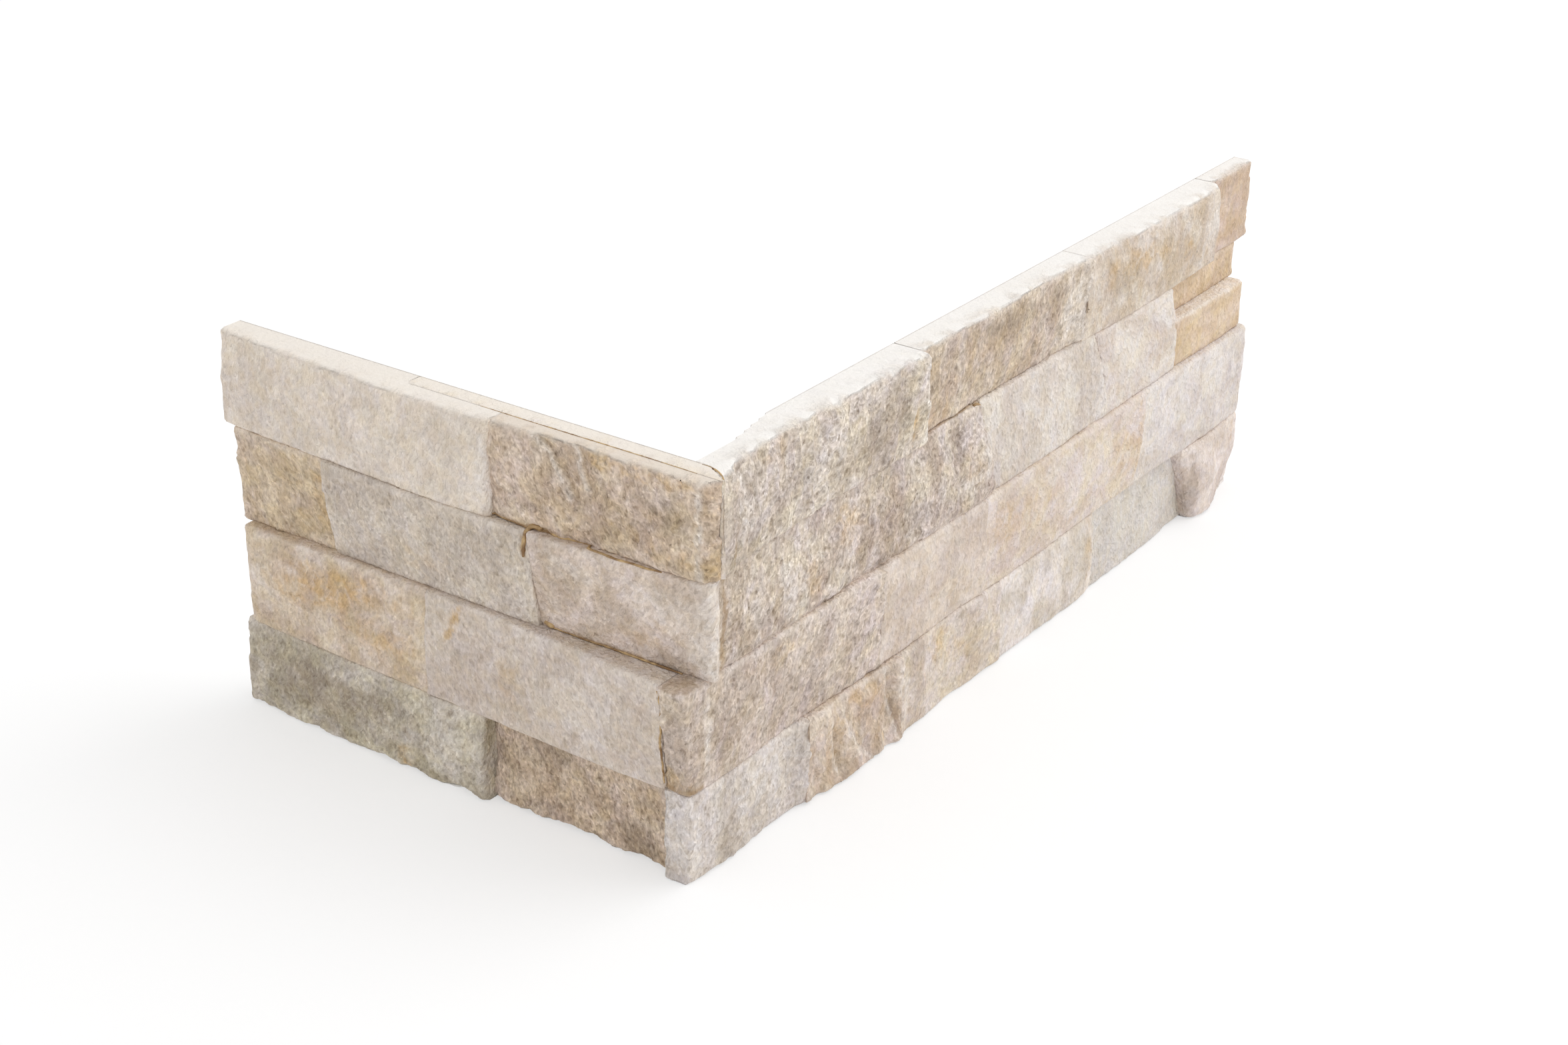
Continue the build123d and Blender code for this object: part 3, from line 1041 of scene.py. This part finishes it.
@dataclass(frozen=True)
class GlueSeams:
    """The brown adhesive that shows at the joints."""

    beads: tuple[Bead, ...]
    finish: GlueFinish = GlueFinish()
    ring: int = 8
    step: float = 0.8
    reach: float = 60.0
    sunk: float = 2.0

    def build(self, pieces: list[bpy.types.Object]) -> list[bpy.types.Object]:
        """Build every bead.

        Args:
            pieces: The blocks that the beads lie on.

        Returns:
            The finished pieces.
        """
        material = self.finish.material("dried_adhesive")
        return [self._bead(bead, pieces, material) for bead in self.beads]

    def _bead(
        self, bead: Bead, pieces: list[bpy.types.Object], material: bpy.types.Material
    ) -> bpy.types.Object:
        """Sweep one bead along its path.

        Args:
            bead: The bead.
            pieces: The blocks that it lies on.
            material: The glue.

        Returns:
            The finished piece.
        """
        path = [self._on_face(bead, pieces, point) for point in self._stepped(bead.path)]
        grit = Grit(int(bead.radius * 1000) + len(path))
        swell = grit.wave(np.column_stack([np.arange(len(path)) * 0.37] * 3))
        shell = bmesh.new()
        rings = []
        for index, place in enumerate(path):
            ahead = path[min(index + 1, len(path) - 1)] - path[max(index - 1, 0)]
            taper = math.sin(math.pi * (0.1 + 0.8 * index / (len(path) - 1))) ** 0.4
            radius = bead.radius * MM * taper * (1.0 + 0.7 * swell[index])
            turn = ahead.to_track_quat("Z", "Y").to_matrix().to_4x4()
            made = bmesh.ops.create_circle(
                shell, segments=self.ring, radius=radius, matrix=Matrix.Translation(place) @ turn
            )
            rings.append(self._edges(made["verts"]))
        for near, far in zip(rings, rings[1:]):
            bmesh.ops.bridge_loops(shell, edges=[*near, *far])
        for end in (rings[0], rings[-1]):
            bmesh.ops.contextual_create(shell, geom=end)
        bmesh.ops.recalc_face_normals(shell, faces=shell.faces)
        mesh = meshed(shell, bead.name)
        mesh.materials.append(material)
        mesh.shade_smooth()
        piece = stand(bead.name, mesh)
        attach(piece, BODY)
        log.info("glue: %s, %d faces", bead.name, len(mesh.polygons))
        return piece

    def _on_face(
        self, bead: Bead, pieces: list[bpy.types.Object], point: tuple[float, float]
    ) -> Vector:
        """Find where a point of a bead lies on the stone.

        Args:
            bead: The bead.
            pieces: The blocks.
            point: The point, along and up the leg or on the top.

        Returns:
            The place, in metres.
        """
        if bead.leg is None:
            return Vector((point[0], point[1], BEDS[-1] + bead.lift)) * MM
        start = bead.leg.place(point[0], self.reach, point[1])
        inward = bead.leg.place(0.0, -1.0, 0.0).normalized()
        found = [(self.reach + self.sunk) * MM]
        for piece in pieces:
            hit, place, _, _ = piece.ray_cast(start, inward)
            if hit:
                found.append((place - start).dot(inward))
        return start + inward * (min(found) - bead.lift * MM)

    @staticmethod
    def _edges(ring: list[bmesh.types.BMVert]) -> list[bmesh.types.BMEdge]:
        """Return the edges of a ring of vertices."""
        return list({edge for vert in ring for edge in vert.link_edges})

    def _stepped(self, path: tuple[tuple[float, float], ...]) -> list[tuple[float, float]]:
        """Round a path's corners and divide it into short steps.

        Args:
            path: The points of the path.

        Returns:
            Evenly spaced points on the rounder path.
        """
        points = np.array(path, float)
        for _ in range(2):
            near = points[:-1] * 0.75 + points[1:] * 0.25
            far = points[:-1] * 0.25 + points[1:] * 0.75
            cut = np.stack([near, far], axis=1).reshape(-1, 2)
            points = np.vstack([points[:1], cut, points[-1:]])
        run = np.concatenate([[0.0], np.cumsum(np.hypot(*np.diff(points, axis=0).T))])
        count = max(4, round(run[-1] / self.step))
        marks = np.linspace(0.0, run[-1], count)
        return list(zip(np.interp(marks, run, points[:, 0]), np.interp(marks, run, points[:, 1])))


@dataclass(frozen=True)
class Studio:
    """The floor, the soft light and the photograph's camera."""

    floor_reach: float = 12.0
    floor_white: float = 1.0
    backdrop_share: float = 0.5
    sky: float = 0.83
    key_watts: float = 52.0
    key_size: float = 3.0
    key_from: tuple[float, float, float] = (1.95, -1.4, 2.9)
    key_at: tuple[float, float, float] = (0.16, 0.06, 0.07)

    def build(self) -> None:
        """Set up everything that isn't part of the object."""
        self._floor()
        self._world()
        self._key()
        self._camera()
        bpy.context.scene.view_settings.view_transform = "Standard"

    def _floor(self) -> None:
        """Lay the white floor."""
        shell = bmesh.new()
        bmesh.ops.create_grid(shell, x_segments=1, y_segments=1, size=self.floor_reach)
        floor = stand("floor", meshed(shell, "floor"))
        material, graph = blank("floor_finish")
        white = (self.floor_white, self.floor_white, self.floor_white, 1.0)
        paper = graph.signal("ShaderNodeBsdfDiffuse", 0, None, {"Color": white})
        plain = graph.signal("ShaderNodeEmission", 0, None, {"Strength": 1.0})
        share = self._seen(graph) * self.backdrop_share
        mixed = graph.signal("ShaderNodeMixShader", 0, None, {0: share, 1: paper, 2: plain})
        graph.node("ShaderNodeOutputMaterial", None, {"Surface": mixed})
        floor.data.materials.append(material)

    @staticmethod
    def _seen(graph: Graph) -> Signal:
        """Return 1 where the camera sees a surface, also through gloss or glass."""
        rays = graph.node("ShaderNodeLightPath")
        seen = Signal(graph, rays.outputs["Is Camera Ray"])
        for ray in ("Is Glossy Ray", "Is Transmission Ray"):
            seen = seen.larger(Signal(graph, rays.outputs[ray]))
        return seen

    def _world(self) -> None:
        """Light the scene from a white sky that the camera sees as plain white."""
        world = bpy.data.worlds.new("studio")
        bpy.context.scene.world = world
        world.use_nodes = True
        graph = Graph(world.node_tree)
        seen = self._seen(graph)
        white = (1.0, 1.0, 1.0, 1.0)
        soft, plain = (
            graph.signal("ShaderNodeBackground", 0, None, {"Color": white, "Strength": strength})
            for strength in (self.sky, 1.0)
        )
        mixed = graph.signal("ShaderNodeMixShader", 0, None, {0: seen, 1: soft, 2: plain})
        graph.node("ShaderNodeOutputWorld", None, {"Surface": mixed})

    def _key(self) -> None:
        """Hang a broad soft lamp on the long leg's side."""
        light = bpy.data.lights.new("key_softbox", "AREA")
        light.size = self.key_size
        light.energy = self.key_watts
        lamp = stand("key_softbox", light)
        lamp.location = self.key_from
        aim = Vector(self.key_at) - Vector(self.key_from)
        lamp.rotation_euler = aim.to_track_quat("-Z", "Y").to_euler()

    def _camera(self) -> None:
        """Stand the camera where the photograph was taken from."""
        turn, rise = CAMERA_AZIMUTH, CAMERA_ELEVATION
        back = Vector(
            (math.sin(turn) * math.cos(rise), -math.cos(turn) * math.cos(rise), math.sin(rise))
        )
        right = Vector((0.0, 0.0, 1.0)).cross(back).normalized()
        up = back.cross(right)
        level, lean = math.cos(CAMERA_ROLL), math.sin(CAMERA_ROLL)
        axes = Matrix((right * level + up * lean, up * level - right * lean, back)).transposed()
        data = bpy.data.cameras.new("photo_camera")
        data.sensor_width = SENSOR_WIDTH
        data.lens = CAMERA_FOCAL_PIXELS * SENSOR_WIDTH / PHOTO_WIDTH
        camera = stand("photo_camera", data)
        camera.matrix_world = Matrix.Translation(Vector(CAMERA_PLACE_MM) * MM) @ axes.to_4x4()
        bpy.context.scene.camera = camera


# Finishes of the blocks
QUIET = {"lilac": (1.0, 0.995, 1.01), "ochre": (1.006, 1.0, 0.98)}
CREAM = StoneFinish(
    pale=(231, 221, 211), deep=(213, 200, 187), grain=0.085,
    warm_share=0.1, dark_share=0.1, **QUIET,
)
PALE_GREY = StoneFinish(
    pale=(228, 220, 212), deep=(207, 196, 186), grain=0.1,
    warm_share=0.05, dark_share=0.15, **QUIET,
)
TAN = StoneFinish(pale=(220, 203, 186), deep=(196, 176, 154), grain=0.16, warm_share=0.3)
BROWN_GREY = StoneFinish(
    pale=(218, 207, 198), deep=(188, 172, 159), grain=0.24,
    warm_share=0.15, dark_share=0.35, stretch=2.2,
)
PEACH = StoneFinish(
    pale=(227, 216, 206), deep=(213, 198, 185), grain=0.075, warm_share=0.2, dark_share=0.05
)
GREEN_GREY = StoneFinish(
    pale=(214, 206, 191), deep=(181, 172, 155), grain=0.18, warm_share=0.05, dark_share=0.3
)
BACKING = StoneFinish(pale=(236, 226, 214), deep=(222, 209, 193), grain=0.08, sawn=(237, 229, 219))

BASE_COURSE = course(
    "base course", 1,
    Stone(
        "base_long_corner_block", "pale_grey",
        replace(PALE_GREY, pale=(219, 211, 206), deep=(200, 190, 181), grain=0.16, stretch=1.8),
        replace(
            GRAINY, ragged_foot=0.5, ragged_ends=0.05, corner_round=1.8,
            dents=(closed(61.5, 2.0, 4.5),),
        ),
        (
            PALE(30, 24, 16, 8, 0.45), PALE(-3, 18, 4, 20, 0.5), DARK(14, 14, 5, 16, 0.25),
            DARK(14, 5, 6, 5, 0.4), PALE(24, 26, 10, 6, 0.3),
        ),
        end_shows=True,
    ),
    Stone(
        "base_long_rippled_block", "tan",
        replace(TAN, pale=(218, 204, 193), deep=(192, 172, 155), stretch=1.5),
        replace(
            STREAKED,
            layers=(
                Layer(1.3, 15.0, 30.0, 2, True), Layer(0.6, 6.0, 9.0), Layer(0.25, 2.4, 3.0, 2),
            ),
            ragged_ends=0.05,
            chips=(
                Chip(((79, 5), (76, 16), (74, 26), (72, 36)), 0.7, 4.0),
                Chip(((102, 0), (92, 9), (84, 20), (81, 30)), 0.8, 4.0),
                Chip(((117, 0), (114, 12), (110, 24), (108, 36)), 0.7, 4.0),
            ),
            dents=(
                closed(61.5, 0.6), closed(118.5, 0.8), Dent(90, 36, 30, 7, 1.6),
                Dent(112, 10, 5, 12, 1.6), Dent(86, 15, 4, 12, -1.3),
            ),
            ragged_foot=0.8,
        ),
        (
            WARM(75, 21, 8, 10, 0.55), WARM(96, 29, 14, 6, 0.6), DARK(113, 17, 3.5, 8, 0.6),
            DARK(104, 34, 12, 2, 0.4), PALE(119, 20, 3, 16, 0.8, 8),
        ),
    ),
    Stone(
        "base_long_tan_block", "tan",
        replace(TAN, pale=(222, 211, 200), deep=(200, 185, 169), grain=0.12, warm_share=0.25),
        replace(
            SMOOTH,
            dents=(
                closed(118.5, 0.8), closed(192, 0.8), Dent(148, 31, 6, 4, 1.0),
                Dent(166, 16, 9, 10, 1.2), Dent(135, 12, 7, 9, -0.9),
            ),
            ragged_foot=0.6, ragged_ends=0.05,
        ),
        (
            WARM(147, 28, 6, 6, 0.7), WARM(160, 20, 12, 6, 0.35, -20), DARK(131, 33, 8, 3, 0.4),
            DARK(164, 33, 3, 2, 0.6), PALE(122, 18, 3, 15, 0.7),
        ),
    ),
    Stone(
        "base_long_cream_block", "cream",
        replace(CREAM, pale=(236, 228, 223), deep=(209, 199, 188), stretch=1.6),
        replace(SMOOTH, ragged_foot=0.5, dents=(closed(192, 0.8),)),
        (PALE(202, 10, 9, 8, 0.5), WARM(264, 20, 4, 20, 0.5)),
    ),
    Stone(
        "base_long_grey_block", "pale_grey",
        replace(PALE_GREY, grain=0.08, pale=(220, 214, 208), deep=(210, 203, 194)),
        replace(STREAKED, ragged_foot=0.5),
    ),
    Stone(
        "base_long_end_block", "cream",
        replace(CREAM, grain=0.07, pale=(235, 224, 217), deep=(212, 198, 189)),
        replace(
            SMOOTH, ragged_head=0.6, ragged_foot=0.5, ragged_ends=0.6,
            dents=(Dent(361, 14, 12, 18, -3.0), Dent(398, 2, 14, 12, 2.5)),
        ),
        # The dark band at 353, where this block stands proud of the grey block: painted shade on
        # its flank.
        (WARM(394, 26, 5, 8, 0.4), DARK(353, 16, 3, 20, 0.5)), ledge_glue_and_shade=0.0,
    ),
    Stone(
        "base_short_tan_block", "tan",
        replace(
            TAN, pale=(214, 196, 178), deep=(190, 170, 150), grain=0.26, warm_share=0.05,
            dark_share=0.4,
        ),
        replace(GRAINY, ragged_foot=1.8), (DARK(20, 9, 16, 8, 0.75), DARK(62, 28, 20, 8, 0.35)),
    ),
    Stone(
        "base_short_end_block", "green_grey", GREEN_GREY, replace(GRAINY, ragged_foot=1.6),
        (
            DARK(168, 20, 38, 11, 0.55), PALE(110, 20, 18, 16, 0.45),
            WARM(128.7, 5, 4.5, 5.5, 0.9), DARK(105.4, 31.4, 2.4, 2.2, 1.0),
        ),
    ),
)

SECOND_COURSE = course(
    "second course", 11,
    Stone(
        "second_long_corner_block", "brown_grey",
        replace(
            BROWN_GREY, pale=(217, 204, 195), deep=(192, 177, 165), warm_share=0.2, grain=0.21,
        ),
        replace(GRAINY, corner_round=1.5, ragged_ends=0.05, dents=(closed(106.5, 0.8),)),
        (
            PALE(3.5, 56, 2.2, 18, 0.7), DARK(12, 52, 7, 14, 0.3), DARK(57, 58, 10, 8, 0.25),
            WARM(40, 70, 16, 5, 0.35), GLUE(-3, 37, 5, 1.6, 0.8), WARM(-6, 41, 4, 4, 0.5),
            GLUE(-4, 77, 8, 1.4, 0.45),
        ),
        end_shows=True, ledge_glue_and_shade=0.08,
    ),
    Stone(
        "second_long_pink_block", "cream",
        replace(CREAM, pale=(224, 211, 200), deep=(208, 193, 180)),
        replace(SMOOTH, ragged_ends=0.05, dents=(closed(106.5, 0.8), closed(178.5, 0.7))),
    ),
    Stone(
        "second_long_peach_block", "peach", PEACH,
        replace(SMOOTH, ragged_ends=0.05, dents=(closed(178.5, 0.7), closed(305, 0.5, 5.0))),
        (
            WARM(205, 58, 24, 9, 0.4), WARM(293, 57, 16, 18, 0.4), WARM(303, 57, 3, 30, 0.6),
            WARM(190, 60, 12, 14, 0.5), PALE(234, 68, 13, 6, 0.6),
        ),
        ledge_glue_and_shade=0.0,
    ),
    Stone(
        "second_long_end_block", "pale_grey",
        replace(PALE_GREY, pale=(231, 224, 219), deep=(215, 205, 199), grain=0.065),
        replace(SMOOTH, ragged_ends=0.4, dents=(closed(305, 0.5, 5.0),)),
        (DARK(395, 52, 3, 14, 0.15),), ledge_glue_and_shade=0.0,
    ),
    Stone(
        "second_short_cream_block", "cream",
        replace(CREAM, pale=(217, 205, 194), deep=(205, 191, 178), grain=0.12, dark_share=0.04),
        SMOOTH,
        (
            WARM(103.5, 67, 2.6, 9, 1.0, 26), WARM(77, 57, 6, 11, 0.35), PALE(40, 56, 26, 14, 0.3),
            DARK(100, 58, 2, 2, 0.5),
        ),
        ledge_glue_and_shade=0.1,
    ),
    Stone(
        "second_short_end_block", "peach",
        replace(
            PEACH, pale=(223, 208, 190), deep=(201, 182, 160), grain=0.13, warm=(208, 172, 118),
        ),
        SMOOTH,
        (
            WARM(166, 62, 34, 10, 0.65, -8), WARM(140, 50, 18, 8, 0.5), WARM(186, 58, 8, 8, 0.4),
            PALE(200, 58, 6, 12, 0.4),
        ),
    ),
)

THIRD_COURSE = course(
    "third course", 21,
    Stone(
        "third_short_corner_block", "cream",
        replace(CREAM, pale=(222, 207, 196), deep=(197, 180, 164), grain=0.13),
        replace(SMOOTH, corner_round=4.0),
        (
            PALE(-5, 95, 8, 40, 0.6), PALE(-8, 95, 4, 40, 1.0), PALE(12, 100, 24, 9, 0.35),
            DARK(14, 80, 12, 4, 0.5), WARM(20, 88, 16, 5, 0.35, -25), PALE(50, 106, 14, 5, 0.4),
            GLUE(34, 77.3, 32, 1.3, 0.7),
        ),
        end_shows=True, ledge_glue_and_shade=0.25,
    ),
    Stone(
        "third_short_grey_block", "pale_grey",
        replace(PALE_GREY, pale=(216, 205, 193), deep=(197, 185, 172), grain=0.15, stretch=1.4),
        SMOOTH, (GLUE(69, 108, 1.0, 6, 0.8), WARM(120, 88, 14, 6, 0.25)),
    ),
    Stone(
        "third_short_end_block", "tan",
        replace(TAN, pale=(225, 208, 187), deep=(199, 180, 156), grain=0.18, dark_share=0.3),
        GRAINY, (WARM(166, 98, 5, 13, 0.6),),
    ),
    Stone(
        "third_long_brown_block", "brown_grey", BROWN_GREY,
        replace(
            GRAINY,
            layers=(Layer(0.9, 22.0, 30.0), Layer(0.5, 7.0, 11.0), Layer(0.3, 2.4, 2.4, 2)),
            facet_depth=0.6,
            dents=(
                Dent(95, 76.5, 200, 1.8, 1.2), Dent(163, 104, 6, 7, 2.4),
                Dent(178, 92, 6, 14, -1.6), Dent(128, 88, 12, 10, 1.0),
            ),
        ),
        (
            PALE(51, 90, 7, 14, 0.5, 15), WARM(64, 90, 6, 12, 0.45, 20),
            WARM(86, 102, 9, 10, 0.5, 30), WARM(172, 92, 8, 10, 0.3), DARK(127, 88, 11, 9, 0.5),
            DARK(162, 102, 6, 10, 0.45), PALE(181, 98, 4, 16, 0.85, -12),
            # The glue brown at 12: glue and painted shadow in the gap beside the short leg's
            # corner block.
            PALE(168, 86, 12, 5, 0.5), GLUE(12, 95, 1.7, 24, 0.7),
        ),
        # Full glue brown on the ledges: under the top course's tan block this is painted shadow in
        # the slit, with glue.
        ledge_glue_and_shade=1.0,
    ),
    Stone(
        "third_long_grey_block", "pale_grey",
        replace(
            PALE_GREY, pale=(226, 218, 210), deep=(211, 200, 190), stretch=1.8, dark_share=0.08,
        ),
        replace(STREAKED, ragged_ends=0.05, dents=(closed(273, 0.8, 5.0),)),
    ),
    Stone(
        "third_long_cream_block", "cream",
        replace(CREAM, grain=0.07, pale=(231, 223, 215), deep=(215, 202, 192)),
        replace(SMOOTH, ragged_ends=0.05, dents=(closed(273, 0.8, 5.0),)),
        (WARM(318, 92, 7, 9, 0.2),),
    ),
    Stone(
        "third_long_lower_strip", "tan",
        replace(TAN, pale=(226, 206, 182), deep=(212, 189, 161), grain=0.07, dark_share=0.05),
        # The pale band along the top ledge: painted light on the upward-facing ledge.
        replace(SMOOTH, ragged_head=0.5), (PALE(368, 98.6, 60, 1.6, 1.0),), ledge_glue_and_shade=0.0,
    ),
    Stone(
        "third_long_upper_strip", "tan",
        replace(TAN, pale=(222, 200, 175), deep=(206, 182, 152), grain=0.08, dark_share=0.05),
        SMOOTH,
    ),
)

TOP_COURSE = course(
    "top course", 31,
    Stone(
        "top_short_corner_block", "tan",
        replace(
            TAN, pale=(221, 204, 187), deep=(196, 176, 155), grain=0.22, dark=(150, 130, 98),
            sawn=(226, 215, 202),
        ),
        replace(
            GRAINY, facet_depth=0.7, ragged_head=0.8, ragged_foot=0.5, corner_round=3.2,
            dents=(Dent(16, 132, 8, 8, 1.3), Dent(34, 126, 7, 9, -0.9)),
            chips=(
                Chip(((66, 150), (61, 147), (55, 141), (51, 136), (49, 131)), 2.3, 7.0),
                Chip(((49, 151), (45.5, 146), (44.5, 140), (42, 135)), 1.8, 6.0),
            ),
        ),
        (
            # The pale strip at -2.6 down the rounded corner: worn stone and painted highlight on
            # the arris.
            WARM(26, 147, 30, 3.5, 0.8), PALE(-2.6, 130, 1.5, 40, 0.7),
            WARM(-6, 145, 2.5, 7, 0.35), WARM(-6, 118, 3, 4, 0.6), DARK(-6, 122, 2.5, 5, 0.5),
            DARK(7, 134, 10, 8, 0.55), WARM(4, 121, 7, 4, 0.5), DARK(34, 122, 12, 5, 0.3),
            GLUE(68, 115.3, 16, 1.3, 0.8),
        ),
        end_shows=True,
    ),
    Stone(
        "top_short_end_block", "cream",
        replace(
            CREAM, pale=(234, 223, 211), deep=(220, 208, 195), grain=0.08, sawn=(236, 229, 220),
        ),
        SMOOTH, (PALE(87, 132, 2.5, 16, 0.8), WARM(190, 140, 16, 6, 0.15)),
    ),
    Stone("top_short_backing_strip", "sawn_cream", BACKING, replace(SMOOTH, layers=())),
    Stone(
        "top_long_fluted_block", "brown_grey",
        replace(BROWN_GREY, pale=(223, 213, 203), deep=(192, 179, 165), stretch=2.6),
        replace(
            GRAINY,
            layers=(
                Layer(0.6, 26.0, 40.0), Layer(1.5, 10.0, 60.0, 2, True), Layer(0.32, 2.4, 4.0, 2),
            ),
            dents=(
                Dent(102, 130, 3, 20, 1.8), Dent(119, 130, 3.5, 20, 1.9),
                Dent(127, 124, 2, 14, 1.2), Dent(26, 147, 9, 6, 1.6),
            ),
            ragged_head=2.0,
        ),
        (
            DARK(22.5, 147, 6, 3, 0.7), WARM(45, 144, 10, 5, 0.45), PALE(72, 130, 14, 14, 0.4),
            DARK(100, 130, 4, 14, 0.4), DARK(118, 130, 4, 14, 0.35), WARM(127.5, 124, 2, 12, 0.8),
            # The glue brown at 14: painted brown shade in the joint at this block's start.
            PALE(135, 132, 2.6, 30, 0.9), PALE(21, 132, 5, 13, 0.7), GLUE(14, 122, 1.2, 8, 0.6),
        ),
    ),
    Stone(
        "top_long_tan_block", "brown_grey",
        replace(
            BROWN_GREY, pale=(214, 200, 186), deep=(194, 176, 158), warm_share=0.3, stretch=1.6,
            grain=0.2,
        ),
        replace(GRAINY, ragged_head=1.1, ragged_ends=0.05, dents=(closed(258, 2.2, 4.0),)),
        (
            DARK(196, 141, 30, 6, 0.45, -3), DARK(236, 138, 14, 8, 0.3),
            PALE(251, 130, 15, 30, 0.8), WARM(150, 119, 12, 6, 0.4),
            # The dark line at 158 along the foot: painted shadow in the slit under this block.
            DARK(158, 114.6, 26, 0.9, 1.0), WARM(180, 138, 16, 7, 0.3),
        ),
    ),
    Stone(
        "top_long_pale_block", "pale_grey",
        replace(
            PALE_GREY, pale=(225, 214, 202), deep=(202, 185, 166), stretch=2.4, warm_share=0.3,
        ),
        replace(STREAKED, ragged_head=1.2, ragged_ends=0.05, dents=(closed(258, 1.4),)),
        (
            WARM(296, 137, 26, 9, 0.7), DARK(286, 132, 12, 9, 0.4), PALE(265, 140, 7, 10, 0.5),
            WARM(342, 130, 5, 5, 0.9), PALE(364, 134, 10, 14, 0.6),
        ),
    ),
    Stone(
        "top_long_end_block", "tan",
        replace(TAN, pale=(218, 198, 185), deep=(201, 178, 158), warm_share=0.3, grain=0.08),
        replace(SMOOTH, ragged_ends=1.0), (WARM(392, 124, 12, 7, 0.3),),
    ),
)

# The glue that shows: along the top of the short leg, down the corner and at single joints
GLUE_SEAMS = GlueSeams(
    (
        Bead("glue_seam_top", None, ((5.8, 94), (5.7, 70), (6.1, 20), (5.8, 2)), 0.32, -0.12),
        Bead(
            "glue_seam_corner_top", None,
            ((12.4, 5), (12.6, 1.6), (10.5, -4), (7.2, -7.6)), 0.32, -0.12,
        ),
        Bead(
            "glue_line_top_course", Leg.SHORT,
            ((84, 115.4), (66, 114.9), (40, 114.5), (12, 114.2)), 0.5,
        ),
        Bead(
            "glue_arch_third_course", Leg.SHORT,
            ((67.8, 113.2), (66.6, 116.2), (62, 115.6)), 0.9, 0.4,
        ),
        Bead(
            "glue_run_third_course", Leg.SHORT,
            ((67.6, 114), (68.4, 109), (68.9, 104.4)), 0.8, 0.2,
        ),
        Bead(
            "glue_blob_second_course", Leg.SHORT, ((64.4, 79), (62.8, 78.2), (60.6, 77.9)), 1.0
        ),
        Bead(
            "glue_line_second_course", Leg.SHORT,
            ((62, 77.3), (36, 77.2), (18, 77.2), (6, 77.3)), 0.4,
        ),
        Bead("glue_line_corner", Leg.SHORT, ((8.3, 75), (8.6, 56), (8.3, 38)), 0.4),
        Bead("glue_pit_long_leg", Leg.LONG, ((176.5, 114.4), (179, 114.2), (181, 113)), 0.7, -0.3),
    )
)


def main() -> None:
    """Build the panel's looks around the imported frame, and the studio around them."""
    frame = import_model()
    pieces = []
    for layer in (BASE_COURSE, SECOND_COURSE, THIRD_COURSE, TOP_COURSE):
        pieces += layer.build(frame["nodes"])
    pieces += GLUE_SEAMS.build(pieces)
    Studio().build()
    log.info("%d pieces", len(pieces))


if __name__ == "__main__":
    logging.basicConfig(level=logging.INFO, format="%(name)s: %(message)s")
    main()
